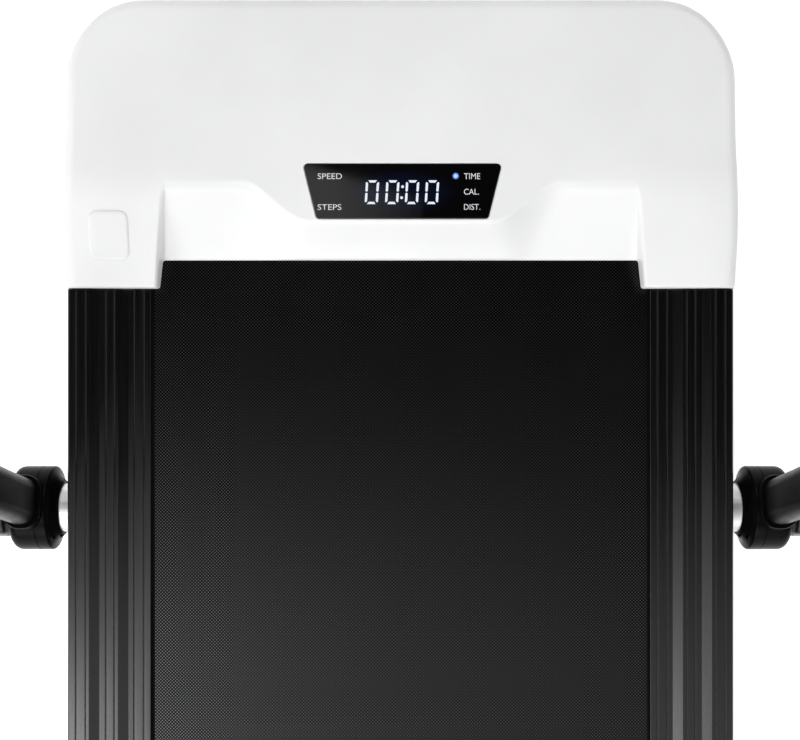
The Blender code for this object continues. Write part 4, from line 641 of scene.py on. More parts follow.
def hood_height(x, y):
    pad = crown_drop(x, y)
    ramp = higher(0, RAMP_FALL * (RAMP_TOP_Y - y), 0.0009)
    platform = platform_drop(x, y)
    floor = lower(ramp, platform, min(PLATFORM_FOOT, ramp + platform))
    floor = higher(pad, floor, min(0.0012, pad + floor)) + round_off(y - RAMP_END_Y, 0.0015)
    floor = min(floor, CREST_Z - PAD_FOOT_Z)
    pad += round_off(y - HOOD_REAR, 0.002)
    inside = 1 - min(max((abs(x) - pad_edge(y) + 0.0003) / PAD_ROUND, 0), 1)
    return CREST_Z - (floor + (pad - floor) * math.sqrt(1 - inside * inside))


def follow_platform(x, y):
    """Bends the skin's cross lines so that they run along the platform's edge."""
    band_end = PLATFORM_Y - PLATFORM_BAND
    if y < band_end:
        share = smooth_step((y - RAMP_END_Y) / (band_end - RAMP_END_Y))
    else:
        share = 1 - smooth_step((y - PLATFORM_Y - 0.003) / 0.105)
    return y + (platform_edge(x) - PLATFORM_Y) * share


def follow_pad(x, y):
    """Leans the lines beside each pad so that they run along its inner edge."""
    across = abs(x)
    share = smooth_step((across - 0.150) / 0.030) * (1 - smooth_step((across - 0.1965) / 0.0175))
    return math.copysign(across + (pad_edge(min(y, CREST_Y)) - PAD_LINE) * share, x)


def draw_in(x, y):
    """Narrows the top of the hood towards its front, as its sides lean in, and fills its front edge."""
    inset = 0.0046 * smooth_step((y - 0.42) / 0.095) - 0.001
    share = smooth_step((abs(x) - 0.215) / 0.045)
    return math.copysign(abs(x) - inset * share, x), y + HOOD_DRAFT * smooth_step((y - 0.56) / 0.05)


def notch():
    """The hood's rear edge between its pads, from right to left, with its corners rounded."""
    inner, past_side, ahead = PAD_LINE + 0.0012, 0.30, 0.70
    corners = [(past_side, HOOD_REAR), (inner, HOOD_REAR), (inner, RAMP_END_Y),
               (0, RAMP_END_Y), (0, ahead), (past_side, ahead)]
    arcs = rounded(corners, 0.002)[7:21]
    return arcs + [(-x, y) for x, y in reversed(arcs)]


def hood_plan():
    """The hood's outline as a flat skin: a rounded rim round one wide face."""
    bm = bmesh.new()
    rings = []
    for step in range(RIM_STEPS + 1):
        inset = HOOD_DRAFT + HOOD_RIM * (1 - math.cos(math.pi / 2 * step / RIM_STEPS))
        half, corner, middle_x, middle_y = corner_of(inset)
        turns = [math.pi / 2 * turn / CORNER_STEPS for turn in range(CORNER_STEPS + 1)]
        arc = [(middle_x + corner * math.sin(turn), middle_y + corner * math.cos(turn)) for turn in turns]
        ring = [(-half, HOOD_REAR)] + [(-x, y) for x, y in reversed(arc)] + arc + [(half, HOOD_REAR)]
        rings.append([bm.verts.new((x, y, 0)) for x, y in ring])
    for outer, inner in zip(rings, rings[1:]):
        for index in range(len(outer) - 1):
            bm.faces.new((outer[index], inner[index], inner[index + 1], outer[index + 1]))
    bm.faces.new(list(reversed(rings[-1] + [bm.verts.new((x, y, 0)) for x, y in notch()])))
    return bm


def hood_cuts():
    """Where the skin gets lines: close together along bends, wider apart elsewhere."""
    band_end = PLATFORM_Y - PLATFORM_BAND
    across = [HOOD_REAR + d for d in (0.0002, 0.0006, 0.0012, 0.0020)]
    across += [RAMP_END_Y + d for d in (0.0002, 0.0005, 0.0010, 0.0016)]
    across += [band_end + 0.0009 * step for step in range(18)]
    across += [band_end - 0.0018 * step for step in range(1, 8)]
    across += [HOOD_REAR + 0.0055 * step for step in range(1, 42)]
    lengthwise = [0.005 * step for step in range(-53, 54)]
    for side in (-1, 1):
        lengthwise += [side * x for x in (DECK_SLOT_X, DECK_SLOT_X + 0.0002,
                                          FRAME_SLOT_X, FRAME_SLOT_X + 0.0002)]
        lengthwise += [side * (PAD_LINE + d) for d in (-0.0003, -0.0002, 0.0, 0.0003, 0.0007, 0.0012,
                                                       0.0018, 0.0025, 0.0033, 0.0042)]
    return ([((x, 0, 0), (1, 0, 0)) for x in lengthwise]
            + [((0, y, 0), (0, 1, 0)) for y in across])


def hood_skin():
    bm = hood_plan()
    for place, normal in hood_cuts():
        bmesh.ops.bisect_plane(bm, geom=bm.verts[:] + bm.edges[:] + bm.faces[:], dist=5e-6,
                               plane_co=place, plane_no=normal)
    for vert in bm.verts:
        if vert.co.y < 0.553:
            vert.co.y = follow_platform(vert.co.x, vert.co.y)
        vert.co.x = follow_pad(vert.co.x, vert.co.y)
        drop = round_off(hood_depth(vert.co.x, vert.co.y, HOOD_DRAFT), HOOD_RIM)
        vert.co.z = hood_height(vert.co.x, vert.co.y) - drop
    border = [edge for edge in bm.edges if edge.is_boundary]
    walls = bmesh.ops.extrude_edge_only(bm, edges=border)["geom"]
    wider = HOOD_HALF / (HOOD_HALF - HOOD_DRAFT)
    longer = WALL_REACH / (WALL_REACH - HOOD_DRAFT)
    for vert in (item for item in walls if isinstance(item, bmesh.types.BMVert)):
        x, y = vert.co.x, vert.co.y
        if abs(x) > FRAME_SLOT_X + 0.0001 or y > RAMP_END_Y + 0.01:
            vert.co = (x * wider, HOOD_REAR + (y - HOOD_REAR) * longer, HOOD_BOTTOM)
        else:
            vert.co.z = FRAME_SLOT_Z if abs(x) > DECK_SLOT_X + 0.0001 else DECK_SLOT_Z
    for vert in bm.verts:
        if vert.co.z > HOOD_BOTTOM + 1e-4:
            vert.co.x, vert.co.y = draw_in(vert.co.x, vert.co.y)
    bmesh.ops.remove_doubles(bm, verts=bm.verts, dist=2e-5)
    return bm


LENS_CORNERS = [(-0.0651, 0.4472), (0.0681, 0.4472), (0.0788, 0.4898), (-0.0758, 0.4898)]
KEY_MIDDLE = Vector((-0.2288, 0.4354, 0))
KEY_MIDDLE.z = CREST_Z - crown_drop(KEY_MIDDLE.x, KEY_MIDDLE.y)
KEY_PLACE = Matrix.Translation(KEY_MIDDLE) @ Matrix.Rotation(math.atan(PAD_SLOPE), 4, "X")
PANEL_X, PANEL_Z, PANEL_Y = (-0.178, -0.044), (0.036, 0.088), 0.616
PANEL_MIDDLE_Z, FLANGE_Y, PAST_FRONT = 0.062, 0.6188, 0.64
SOCKET_X, SWITCH_X, BREAKER_X = -0.148, -0.102, -0.068
WHEEL_X, WHEEL_Y, WHEEL_Z = 0.1932, 0.596, 0.034


def lens_rings(*levels):
    """Outlines of the display at (extra, height) levels."""
    return [[(x, y, z) for x, y in rounded(grown(LENS_CORNERS, extra), 0.003 + max(extra, 0))]
            for extra, z in levels]


def key_rings(*levels):
    """Outlines of the key seat at (height, inset) levels over the sloping pad."""
    return [[KEY_PLACE @ Vector((x, y, height))
             for x, y in rounded(grown(oblong((0, 0), (0.0306, 0.0385)), -inset), 0.0064 - inset, 8)]
            for height, inset in levels]


def hood():
    shell = new_piece("hood_shell", hood_skin(), WHITE, "base", "hood_white", "hood_cover")
    wall = shell.modifiers.new("wall", "SOLIDIFY")
    wall.thickness = HOOD_WALL
    wall.offset = -1
    settle(shell)
    cut(shell, lofted, lens_rings((0.0003, 0.1259), (0.0003, 0.1274), (0.0007, 0.1278), (0.0014, 0.1285)))
    cut(shell, lofted, key_rings((-0.0012, 0.0002), (0.006, 0.0002)))
    cut(shell, box_of, (PANEL_X[0], PANEL_Y - 0.01, PANEL_Z[0]), (PANEL_X[1], PAST_FRONT, PANEL_Z[1]))
    for _, side in SIDES:
        cut(shell, turned, mirrored([(0, 0.0126), (0.029, 0.0126)]), (side * WHEEL_X, WHEEL_Y, WHEEL_Z))
    seat = shaped(lofted, key_rings((-0.0009, 0), (-0.0001, -0.0003), (0.0003, -0.0001), (0.0008, 0.0003),
                                    (0.0011, 0.0008), (0.0013, 0.0015), (0.00135, 0.0026)))
    new_piece("key_seat_plate", seat, WHITE, "base", "hood_white", "key_seat", sharp=60)


def display():
    cover = shaped(lofted, lens_rings((0, 0.1262), (0, 0.1277), (-0.0001, 0.12788), (-0.0003, 0.128)))
    new_piece("display_cover", cover, GLASS, "base", "display_lens", "display_lens", sharp=15)
    digits()
    words()


def digits():
    bm = bmesh.new()
    wide, high, bar, thick = 0.0103, 0.0185, 0.0018, 0.00004
    half = high / 2
    flat = [(bar, high), (wide - bar, high), (wide - bar * 1.7, high - bar), (bar * 1.7, high - bar)]
    upright = [(0, high - bar), (bar * 0.45, high - bar * 0.75), (bar, high - bar * 1.4),
               (bar, half + bar * 0.5), (bar * 0.5, half + bar * 0.25), (0, half + bar * 0.5)]
    top_row = [flat, upright, [(wide - x, y) for x, y in upright]]
    segments = top_row + [[(x, high - y) for x, y in segment] for segment in top_row]
    for left in (364.6, 384.9, 404.7, 424.6):
        start_x, start_y = on_lens(left, 204.1)
        for segment in segments:
            plate(bm, [(start_x + x + LEAN_OF_DIGITS * y, start_y + y, LENS_TOP + thick / 2)
                       for x, y in segment], (0, 0, thick))
    for x, y in ((402.6, 186.7), (401.6, 197.7)):
        spot = bmesh.ops.create_cone(bm, cap_ends=True, segments=24, radius1=0.0011, radius2=0.0011,
                                     depth=thick)["verts"]
        bmesh.ops.translate(bm, verts=spot, vec=(*on_lens(x, y), LENS_TOP + thick))
    new_piece("lit_digits", bm, DIGIT, "base", "display_lens")
    dot = shaped(turned, [(0, 0.0002), (0.0012, 0.00018), (0.0021, 0.00010), (0.0024, 0.00002), (0, 0.00002)],
                 (*on_lens(*LAMP_DOT), LENS_TOP), "Z", 32)
    new_piece("lamp_dot", dot, LAMP, "base", "display_lens")


def lettering(bm, word, low, high):
    """A word fitted into a box on the display."""
    curve = bpy.data.curves.new(word, "FONT")
    curve.body = word
    curve.extrude = 0.004
    curve.resolution_u = 4
    guide = shown(word, curve)
    bpy.context.view_layer.update()
    mesh = bpy.data.meshes.new_from_object(guide.evaluated_get(bpy.context.evaluated_depsgraph_get()))
    bpy.data.objects.remove(guide, do_unlink=True)
    corners = [[pick(vert.co[axis] for vert in mesh.vertices) for pick in (min, max)] for axis in (0, 1)]
    scale = [(high[axis] - low[axis]) / (corners[axis][1] - corners[axis][0]) for axis in (0, 1)]
    mesh.transform(Matrix.Translation((*low, LENS_TOP + 0.00003))
                   @ Matrix.Diagonal((*scale, 0.004, 1))
                   @ Matrix.Translation((-corners[0][0], -corners[1][0], 0)))
    bm.from_mesh(mesh)
    bpy.data.meshes.remove(mesh)


def words():
    bm = bmesh.new()
    for word, left, right, top, bottom in (
        ("SPEED", 317.6, 342.0, 173.3, 179.1), ("STEPS", 317.6, 341.3, 204.2, 210.0),
        ("TIME", 464.0, 480.2, 173.3, 179.1), ("CAL.", 463.9, 479.0, 188.8, 194.6),
        ("DIST.", 464.0, 480.2, 204.0, 209.8),
    ):
        lettering(bm, word, on_lens(left, bottom), on_lens(right, top))
    bmesh.ops.remove_doubles(bm, verts=bm.verts, dist=1e-6)
    new_piece("function_words", bm, PRINT, "base", "display_lens")


# Connection panel

def panel_box(bm, x, size, low_y, high_y):
    box_of(bm, (x - size[0] / 2, low_y, PANEL_MIDDLE_Z - size[1] / 2),
           (x + size[0] / 2, high_y, PANEL_MIDDLE_Z + size[1] / 2))


def panel_plate(bm, outline, x, low_y, high_y):
    plate(bm, [(x + across, low_y, PANEL_MIDDLE_Z + up) for across, up in outline], (0, high_y - low_y, 0))


def connection_panel():
    """A tray let into the hood's front, with holes for the inlet, the switch and the breaker."""
    middle = sum(PANEL_X) / 2
    size = (PANEL_X[1] - PANEL_X[0], PANEL_Z[1] - PANEL_Z[0])
    rim, behind = 0.006, 0.60
    block = shaped(panel_box, middle, [length + rim for length in size], PANEL_Y - 0.004, 0.6202)
    tray = new_piece("panel_tray", block, WHITE, "base", "hood_white", "hood_cover")
    cut(tray, panel_plate, rounded(oblong((0, 0), size), 0.002), middle, PANEL_Y, PAST_FRONT)
    for x, hole in ((SOCKET_X, (0.0306, 0.0226)), (SWITCH_X, (0.0186, 0.0266))):
        cut(tray, panel_box, x, hole, behind, behind + 0.03)
    cut(tray, turned, [(0, 0), (0.0083, 0), (0.0083, 0.03), (0, 0.03)],
        (BREAKER_X, behind, PANEL_MIDDLE_Z), "Y")


def flanged(name, x, flange, corner, body, depth, node):
    """A snap-in body behind its flange."""
    bm = shaped(panel_plate, rounded(oblong((0, 0), flange), corner), x, PANEL_Y + 0.0003, FLANGE_Y)
    soften(bm, 0.0006, 3, 60, lambda edge: min(vert.co.y for vert in edge.verts) > FLANGE_Y - 0.0001)
    piece = new_piece(name, bm, BLACK_PLASTIC, "base", "plastic_black", node)
    join(piece, panel_box, x, body, FLANGE_Y - depth, FLANGE_Y - 0.0008)
    return piece


def power_socket():
    piece = flanged("inlet_body", SOCKET_X, (0.048, 0.030), 0.004, (0.030, 0.022), 0.026, "power_socket")
    half, up, chamfer = 0.01225, 0.00825, 0.0045
    outline = [(-half, -up), (half, -up), (half, up - chamfer), (half - chamfer, up), (chamfer - half, up),
               (-half, up - chamfer)]
    cut(piece, panel_plate, rounded(outline, 0.001, 3), SOCKET_X, FLANGE_Y - 0.022, FLANGE_Y + 0.01)
    pins = bmesh.new()
    tip = FLANGE_Y - 0.008
    for across, rise in ((-0.007, -0.001), (0, 0.003), (0.007, -0.001)):
        panel_plate(pins, oblong((across, rise), (0.002, 0.004)), SOCKET_X, tip - 0.015, tip)
    soften(pins, 0.0005, 2, 60, lambda edge: max(vert.co.y for vert in edge.verts) > tip - 0.001)
    new_piece("inlet_pins", pins, ZINC, "base", "zinc")


def power_switch():
    """A housing with a rocker that leans to one side, marked with a ring and a bar."""
    piece = flanged("switch_body", SWITCH_X, (0.021, 0.030), 0.0025, (0.018, 0.026), 0.020,
                    "switch_housing")
    cut(piece, panel_box, SWITCH_X, (0.0145, 0.0225), FLANGE_Y - 0.016, FLANGE_Y + 0.01)
    tilt, thick = math.radians(8), 0.003
    half = math.sqrt((0.01125 - 0.0006) ** 2 - thick ** 2)
    rise = half * math.tan(tilt)
    bend = rise * 0.45
    place = Matrix.Translation((SWITCH_X, FLANGE_Y - 0.0022, PANEL_MIDDLE_Z)) @ Matrix.Rotation(-tilt, 4, "X")
    across = 0.00725 - 0.0003
    outline = [(-thick, -half), (rise, -half), (bend, -half * 0.5), (0, 0), (bend, half * 0.5),
               (rise, half), (-thick, half)]
    bm = shaped(plate, [(-across, y, z) for y, z in outline], (2 * across, 0, 0))
    soften(bm, 0.0004, 2, 30)
    bmesh.ops.transform(bm, matrix=place, verts=bm.verts)
    new_piece("rocker_key", bm, BLACK_PLASTIC, "rocker", "plastic_black", "power_rocker")
    marks = bmesh.new()
    ring = [(0.0016, 0), (0.0021, 0), (0.0021, 0.00005), (0.0016, 0.00005)]
    lift = bend + (rise - bend) * 0.36 + 0.00004
    lean = math.atan2(rise - bend, half * 0.5)
    for height, shape, values in (
        (-half * 0.68, turned, (ring, (0, 0, 0), "Y", 32)),
        (half * 0.68, box_of, ((-0.00025, 0, -0.002), (0.00025, 0.00005, 0.002))),
    ):
        known = set(marks.verts)
        shape(marks, *values)
        lie = (place @ Matrix.Translation((0, lift, height))
               @ Matrix.Rotation(math.copysign(lean, -height), 4, "X"))
        bmesh.ops.transform(marks, matrix=lie, verts=[vert for vert in marks.verts if vert not in known])
    new_piece("rocker_marks", marks, PRINT, "rocker", "plastic_black")


def breaker():
    centre = (BREAKER_X, FLANGE_Y, PANEL_MIDDLE_Z)
    housing = shaped(turned, [(0.0048, -0.0128), (0, -0.0128), (0, -0.024), (0.008, -0.024),
                              (0.008, -0.0025), (0.0105, -0.0025), (0.0105, -0.0006), (0.0102, -0.0002),
                              (0.0088, 0.0002), (0.0048, 0.0004)], centre, "Y", 64)
    new_piece("breaker_body", housing, BLACK_PLASTIC, "base", "plastic_black", "breaker_housing")
    key = shaped(turned, [(0, -0.0088), (0.0045, -0.0088), (0.0045, 0.0024), (0.0042, 0.0029),
                          (0.0036, 0.0032), (0, 0.0033)], centre, "Y", 48)
    new_piece("reset_key", key, BLACK_PLASTIC, "button", "plastic_black", "reset_button")


# Belt, rails and end caps

def running_belt():
    """One loop of belt round both rollers, with its width as U and its way round as V."""
    sides = (-0.1979, 0.1988)
    path = []
    for centre, start in ((0.455, 90), (-0.5925, -90)):
        for step in range(33):
            angle = math.radians(start - 180 * step / 32)
            path.append((centre, math.cos(angle), math.sin(angle)))
    bm = bmesh.new()
    rings = [[[bm.verts.new((x, centre + y * radius, ROLLER_Z + z * radius)) for x in sides]
              for centre, y, z in path] for radius in (0.0219, 0.0203)]
    uv = bm.loops.layers.uv.new("way_round")
    travel = 0.0
    for index in range(len(path)):
        after = (index + 1) % len(path)
        outer, inner = [(ring[index], ring[after]) for ring in rings]
        step = (outer[1][0].co - outer[0][0].co).length
        top = bm.faces.new((outer[0][0], outer[0][1], outer[1][1], outer[1][0]))
        below = bm.faces.new((inner[0][1], inner[0][0], inner[1][0], inner[1][1]))
        for face in (top, below):
            for corner in face.loops:
                ahead = corner.vert in outer[1] or corner.vert in inner[1]
                corner[uv].uv = (corner.vert.co.x, travel + step * ahead)
        travel += step
        for end in (0, 1):
            bm.faces.new((outer[0][end], outer[1][end], inner[1][end], inner[0][end]))
    new_piece("belt_loop", bm, BELT, "base", "belt_black", "running_belt")


LANDS = ((0.2008, 0.0950), (0.2189, 0.0950), (0.2266, 0.0975), (0.2417, 0.0975), (0.2493, 0.1000),
         (0.2666, 0.1000))
GROOVES = (0.2066, 0.2144, 0.2297, 0.2365, 0.2521, 0.2599)
RAIL_REAR, RAIL_FRONT = -0.5752, 0.3944
HINGE_Y, HINGE_Z = 0.215, 0.060
DECK_REAR, CAP_FRONT, CAP_INNER = -0.6225, -0.5755, 0.2011
BOLT_X, FOOT_X, ROLLER_Z = 0.241, 0.241, 0.0701


def rail_height(x):
    for (x0, z0), (x1, z1) in zip(LANDS, LANDS[1:]):
        if x <= x1:
            return z0 + (z1 - z0) * (x - x0) / (x1 - x0)
    return LANDS[-1][1]


def rail_outline():
    """Section of the right rail: three grooved lands over a hollow wall, as (x, z)."""
    top = list(LANDS[1:-1]) + [(0.2008, 0.0947), (0.2011, 0.0950), (0.2654, 0.1000), (0.2666, 0.0988)]
    for x in GROOVES:
        z = rail_height(x)
        top += [(x - 0.0005, z), (x - 0.0003, z - 0.0006), (x + 0.0003, z - 0.0006), (x + 0.0005, z)]
    top.sort(key=lambda point: point[0])
    under = [(0.2666, 0.0300), (0.2586, 0.0300), (0.2586, 0.0330), (0.2636, 0.0330), (0.2636, 0.0970),
             (0.2500, 0.0970), (0.2424, 0.0945), (0.2273, 0.0945), (0.2196, 0.0920), (0.2038, 0.0920),
             (0.2038, 0.0915), (0.2008, 0.0915)]
    return top + under


def side_rail(label, side):
    bm = shaped(plate, [(side * x, RAIL_REAR, z) for x, z in rail_outline()], (0, RAIL_FRONT - RAIL_REAR, 0))
    soften(bm, 0.0002, 2, 12, lambda edge: abs(edge.verts[0].co.y - edge.verts[1].co.y) > 0.1)
    rail = new_piece(f"grooved_rail_{label}", bm, RAIL, "base", "rail_black", f"side_rail_{label}")
    cut(rail, turned, [(0, 0.255), (0.0206, 0.255), (0.0206, 0.28), (0, 0.28)], (0, HINGE_Y, HINGE_Z),
        "X", 64, side)


def cap_block(bm, side, inset, rear, front, corner, low, high):
    """A block over the rail's end, with its outer rear corner rounded."""
    outer, inner, steps = HOOD_HALF - inset, CAP_INNER + inset, 12
    arc = [(outer - corner + corner * math.cos(angle), rear + corner - corner * math.sin(angle))
           for angle in (math.pi / 2 * step / steps for step in range(steps + 1))]
    plan = [(outer, front)] + arc + [(inner, rear), (inner, front)]
    plate(bm, [(side * x, y, low) for x, y in plan], (0, 0, high - low))


def end_cap(label, side):
    """A moulded cap over the rail's rear end, with a seat for the belt's tension bolt."""
    bm = shaped(cap_block, side, 0, DECK_REAR, CAP_FRONT, 0.022, 0.0225, 0.1012)
    soften(bm, 0.0022, 4, 40, lambda edge: min(vert.co.y for vert in edge.verts) < CAP_FRONT - 0.0005)
    cap = new_piece(f"rear_cap_{label}", bm, BLACK_PLASTIC, "base", "plastic_black", f"end_cap_{label}")
    cut(cap, cap_block, side, 0.003, -0.6045, CAP_FRONT + 0.01, 0.019, 0.0255, 0.0982)
    cut(cap, turned, [(0, -0.01), (0.0072, -0.01), (0.0072, 0.0), (0.0062, 0.001), (0.0062, 0.0123),
                      (0.0036, 0.0123), (0.0036, 0.047), (0, 0.047)],
        (side * BOLT_X, DECK_REAR, ROLLER_Z), "Y", 48)
    slot = side * 0.2026
    cut(cap, box_of, (slot - 0.003, -0.5991, ROLLER_Z - 0.0066), (slot + 0.003, CAP_FRONT + 0.01,
                                                                  ROLLER_Z + 0.0066))
    seat = (side * BOLT_X, -0.6045, ROLLER_Z)
    screw = shaped(turned, [(0, 0.054), (0.003, 0.054), (0.003, -0.006), (0.0044, -0.006), (0.005, -0.0066),
                            (0.005, -0.0113), (0.0044, -0.012), (0, -0.012)], seat, "Y", 48)
    bolt = new_piece(f"tension_screw_{label}", screw, ZINC, f"bolt_{label}", "zinc", f"tension_bolt_{label}")
    cut(bolt, turned, [(0, -0.02), (0.0029, -0.02), (0.0029, -0.0085), (0, -0.0085)], seat, "Y", 6)


# Handrail

UPRIGHT = Matrix.Translation((0, HINGE_Y, HINGE_Z)) @ Matrix.Rotation(-math.radians(13.3), 4, "X")
LEG_X, REACH, BEND = 0.3033, 0.870, 0.075
LEG_SIZE, LEG_CORNER = (0.022, 0.037), 0.0095
QUARTER_TURN = math.pi / 2


def leg_section(extra=0.0, steps=7):
    return rounded(oblong((0, 0), [size + 2 * extra for size in LEG_SIZE]), LEG_CORNER + extra, steps)


def raised(bm):
    bmesh.ops.transform(bm, matrix=UPRIGHT, verts=bm.verts)
    return bm


def handrail_tube():
    """One oval tube: up the left leg, across and down the right leg, closed at its feet."""
    bm = bmesh.new()
    foot_z, turn_at = 0.0226, REACH - BEND
    verts, ring = loop(bm, [(x - LEG_X, y, foot_z) for x, y in leg_section()])
    bm.faces.new(verts)
    moves = [("push", (0, 0, turn_at - foot_z)), ("bend", (BEND - LEG_X, 0, turn_at)),
             ("push", (2 * (LEG_X - BEND), 0, 0)), ("bend", (LEG_X - BEND, 0, turn_at)),
             ("push", (0, 0, foot_z - turn_at))]
    for kind, vector in moves:
        if kind == "push":
            made = bmesh.ops.extrude_edge_only(bm, edges=ring)["geom"]
            ends = {item for item in made if isinstance(item, bmesh.types.BMVert)}
            bmesh.ops.translate(bm, verts=list(ends), vec=vector)
            ring = [item for item in made if isinstance(item, bmesh.types.BMEdge)
                    and all(vert in ends for vert in item.verts)]
        else:
            made = bmesh.ops.spin(bm, geom=ring, cent=vector, axis=(0, 1, 0), angle=QUARTER_TURN, steps=20)
            ring = [item for item in made["geom_last"] if isinstance(item, bmesh.types.BMEdge)]
    bmesh.ops.edgenet_fill(bm, edges=ring)
    new_piece("handrail_bar", raised(bm), PAINT, "handrail", "paint_black", "handrail_tube")


def turned_box(bm, side, x, size, low, high, angle):
    """A small box beside the hinge's axis, turned about that axis."""
    wide, deep = size
    box_of(bm, (side * x - wide, -deep, low), (side * x + wide, deep, high))
    bmesh.ops.rotate(bm, cent=(0, 0, 0), matrix=Matrix.Rotation(angle, 3, "X"), verts=bm.verts)


def hinge_hub(label, side):
    """A hub with a domed nose towards the deck and a rounded rim outside, with a sleeve for the leg."""
    profile = [(0.0053, 0.3182), (0.0285, 0.3182), (0.0310, 0.3176), (0.0330, 0.3160), (0.0342, 0.3138),
               (0.0345, 0.3110), (0.0345, 0.2966), (0.0341, 0.2962), (0.0341, 0.2954), (0.0345, 0.2950),
               (0.0345, 0.2882), (0.0342, 0.2872), (0.0334, 0.2865), (0.0318, 0.2860), (0.0300, 0.2855),
               (0.0280, 0.2846), (0.0260, 0.2833), (0.0245, 0.2820), (0.0232, 0.2804), (0.0222, 0.2796),
               (0.0212, 0.2793), (0.0203, 0.2796), (0.0203, 0.3012), (0.0053, 0.3012)]
    hub = new_piece(f"hub_{label}", shaped(turned, profile, (0, 0, 0), "X", 96, side), HUB_PLASTIC,
                    "handrail", "plastic_black", f"hinge_hub_{label}", sharp=28)

    def ring(height, extra):
        return [(side * LEG_X + x, y, height) for x, y in leg_section(extra)]

    join(hub, lofted, [ring(height, 0.0033 - inset) for height, inset in (
        (0.0213, 0), (0.0388, 0), (0.0396, 0.0003), (0.0400, 0.0011))])
    cut(hub, plate, ring(0.0223, 0.0003), (0, 0, 0.03))
    for quarter in range(4):
        cut(hub, turned_box, side, 0.2808, (0.0017, 0.0054), 0.0222, 0.0290, QUARTER_TURN * quarter)
    cut(hub, turned_box, side, 0.2845, (0.0007, 0.0026), 0.0240, 0.0320, math.radians(68))
    hub.data.transform(UPRIGHT)
    smooth(hub, 28)


def pivot_tube(label, side):
    tube = shaped(turned, [(0.0198, 0.3009), (0.0200, 0.3007), (0.0200, 0.2563), (0.017, 0.2563),
                           (0.017, 0.2969), (0.0053, 0.2969), (0.0053, 0.3009)],
                  (0, HINGE_Y, HINGE_Z), "X", 96, side)
    new_piece(f"pivot_sleeve_{label}", tube, STEEL, "base", "steel_polished", f"pivot_tube_{label}")


def lock_knob(label, side):
    """A lobed hand knob with a dished face, on a shank with a neck, over a loose washer."""
    lobes, steps = 7, 98
    outline = []
    for index in range(steps):
        angle = 2 * math.pi * index / steps
        radius = 0.0237 + 0.0009 * math.cos(lobes * angle)
        outline.append((side * 0.3246, radius * math.cos(angle), radius * math.sin(angle)))
    bm = shaped(plate, outline, (side * 0.0187, 0, 0))
    soften(bm, 0.0028, 4, 60)
    face = max(bm.faces, key=lambda item: side * item.calc_center_median().x)
    bm.normal_update()
    for width, depth in ((0.0045, 0), (0.0010, -0.0009)):
        bmesh.ops.inset_region(bm, faces=[face], thickness=width, depth=depth)
    knob = new_piece(f"knob_{label}", bm, BLACK_PLASTIC, f"knob_{label}", "plastic_black",
                     f"lock_knob_{label}")
    join(knob, turned, [(0, 0.3265), (0.014, 0.3265), (0.014, 0.3216), (0.0136, 0.3212), (0.005, 0.3212),
                        (0.005, 0.2815), (0.0044, 0.2809), (0, 0.2809)], (0, 0, 0), "X", 64, side)
    knob.data.transform(UPRIGHT)
    washer = shaped(turned, [(0.0053, 0.3185), (0.0147, 0.3185), (0.0150, 0.3188), (0.0150, 0.3206),
                             (0.0147, 0.3209), (0.0053, 0.3209)], (0, 0, 0), "X", 64, side)
    new_piece(f"washer_{label}", raised(washer), STEEL, f"washer_{label}", "steel_polished",
              f"knob_washer_{label}")


def grip(label, side):
    """A foam sleeve with rounded ends, pushed over the bar."""
    start, end = 0.062, 0.212
    levels = [(0.0003, start), (0.0003, end), (0.0026, end), (0.0040, end - 0.0005), (0.0047, end - 0.0016),
              (0.0048, end - 0.0030), (0.0049, (start + end) / 2), (0.0048, start + 0.0030),
              (0.0047, start + 0.0016), (0.0040, start + 0.0005), (0.0026, start)]
    foam = shaped(lofted, [[(side * along, y, REACH + x) for x, y in leg_section(extra, 9)]
                           for extra, along in levels], closed=True)
    piece = new_piece(f"foam_{label}", raised(foam), FOAM, "handrail", "foam_black", f"grip_{label}",
                      sharp=50)


def holder_part(name, outline, node):
    half = 0.055
    bm = shaped(plate, [(-half, y, z) for y, z in outline], (2 * half, 0, 0))
    soften(bm, 0.0009, 3, 30)
    new_piece(name, raised(bm), BLACK_PLASTIC, "handrail", "plastic_black", node)


def device_holder():
    """A saddle clamped round the bar, with a leaning back and a front lip that hold a phone or tablet."""
    gap, wall, lip = 0.0003, 0.004, 0.010
    inner = LEG_SIZE[1] / 2 + gap
    outer = inner + wall
    seat = REACH + LEG_SIZE[0] / 2 + gap
    deck = seat + wall
    split = REACH + gap / 2
    back = 0.014 - outer + wall
    lean, height = math.tan(math.radians(18)), 0.085
    holder_part("tablet_rest", [
        (-inner, split), (-inner, seat), (inner, seat), (inner, split), (outer, split), (outer, deck),
        (back + wall, deck), (back + wall + lean * height, deck + height),
        (back + lean * height, deck + height), (back, deck), (wall - outer, deck),
        (wall - outer, deck + lip), (-outer, deck + lip), (-outer, split)], "device_holder")
    low = REACH - LEG_SIZE[0] / 2 - gap
    split -= gap
    holder_part("rest_clamp", [
        (-outer, split), (-outer, low - wall), (outer, low - wall), (outer, split), (inner, split),
        (inner, low), (-inner, low), (-inner, split)], "holder_clamp")


# Feet and wheels

def foot(name, side, y, top):
    """A rubber pad with three grooves round it and a dished sole."""
    profile = [(0, top), (0.0176, top), (0.018, top - 0.0004)]
    for share in (0.25, 0.5, 0.75):
        z, radius = top * (1 - share), 0.018 + 0.002 * share
        profile += [(radius, z + 0.0007), (radius - 0.0006, z + 0.0003), (radius - 0.0006, z - 0.0003),
                    (radius, z - 0.0007)]
    profile += [(0.020, 0.0018), (0.0196, 0.0004), (0.019, 0), (0.006, 0), (0.006, 0.003), (0, 0.003)]
    pad = shaped(turned, profile, (side * FOOT_X, y, 0), "Z", 64)
    new_piece(name + "_pad", pad, RUBBER, "base", "rubber_black", name)


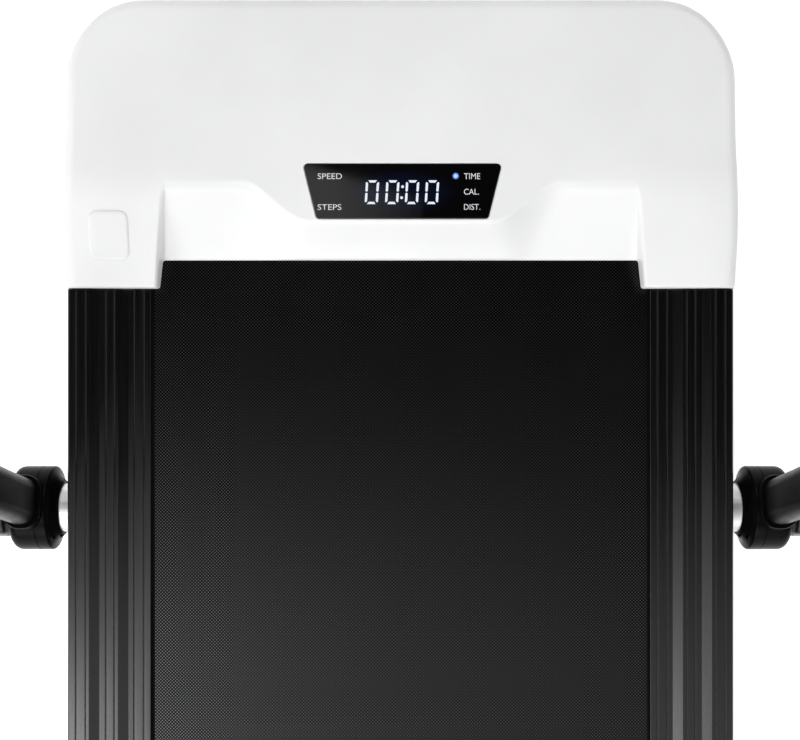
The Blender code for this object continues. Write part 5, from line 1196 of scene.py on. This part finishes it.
def transport_wheel(label, side):
    """A grooved tyre on a moulded rim, on a pin with domed ends."""
    wheel, seat = f"wheel_{label}", 0.0185
    for name, half_profile, steps, finish, body, slot, node in (
        (f"tyre_{label}", [(seat, 0.0080), (0.0240, 0.0080), (0.0254, 0.0074), (0.0260, 0.0062),
                           (0.0260, 0.0042), (0.0251, 0.0038), (0.0251, 0.0028), (0.0260, 0.0024)],
         80, RUBBER, wheel, "rubber_black", wheel),
        (f"wheel_rim_{label}", [(0.0043, 0.0106), (0.0080, 0.0106), (0.0083, 0.0103), (0.0083, 0.0045),
                                (0.0150, 0.0045), (0.0165, 0.0060), (0.0170, 0.0078), (seat, 0.0078)],
         80, BLACK_PLASTIC, wheel, "plastic_black", wheel),
        (f"wheel_pin_{label}", [(0, 0.0155), (0.0030, 0.0154), (0.0048, 0.0148), (0.0055, 0.0138),
                                (0.0055, 0.0135), (0.004, 0.0135)],
         48, ZINC, "base", "zinc", f"wheel_axle_{label}"),
    ):
        bm = shaped(turned, mirrored(half_profile), (side * WHEEL_X, WHEEL_Y, WHEEL_Z), "X", steps)
        new_piece(name, bm, finish, body, slot, node)


# Everything that keeps its solid

CARRIED = {
    "plastic_black": BLACK_PLASTIC, "paint_black": PAINT, "rubber_black": RUBBER, "zinc": ZINC,
    "aluminium": ALUMINIUM, "deck_fibreboard": DECK, "circuit_board": BOARD, "steel_polished": STEEL,
    "hood_white": WHITE, "rail_black": RAIL, "belt_black": BELT, "display_lens": GLASS, "foam_black": FOAM,
}


def carried_nodes():
    slots = {part["node"]: part["material_slot"] for part in frame["record"]["subparts"]}
    for name, node in NODES.items():
        node.data.materials.clear()
        node.data.materials.append(CARRIED[slots[name]].material)


camera()
studio()
carried_nodes()
hood()
display()
connection_panel()
power_socket()
power_switch()
breaker()
running_belt()
handrail_tube()
device_holder()
for label, side in SIDES:
    side_rail(label, side)
    end_cap(label, side)
    hinge_hub(label, side)
    pivot_tube(label, side)
    lock_knob(label, side)
    grip(label, side)
    transport_wheel(label, side)
    foot(f"foot_front_{label}", side, 0.470, 0.0222)
    foot(f"foot_rear_{label}", side, -0.545, 0.0255)
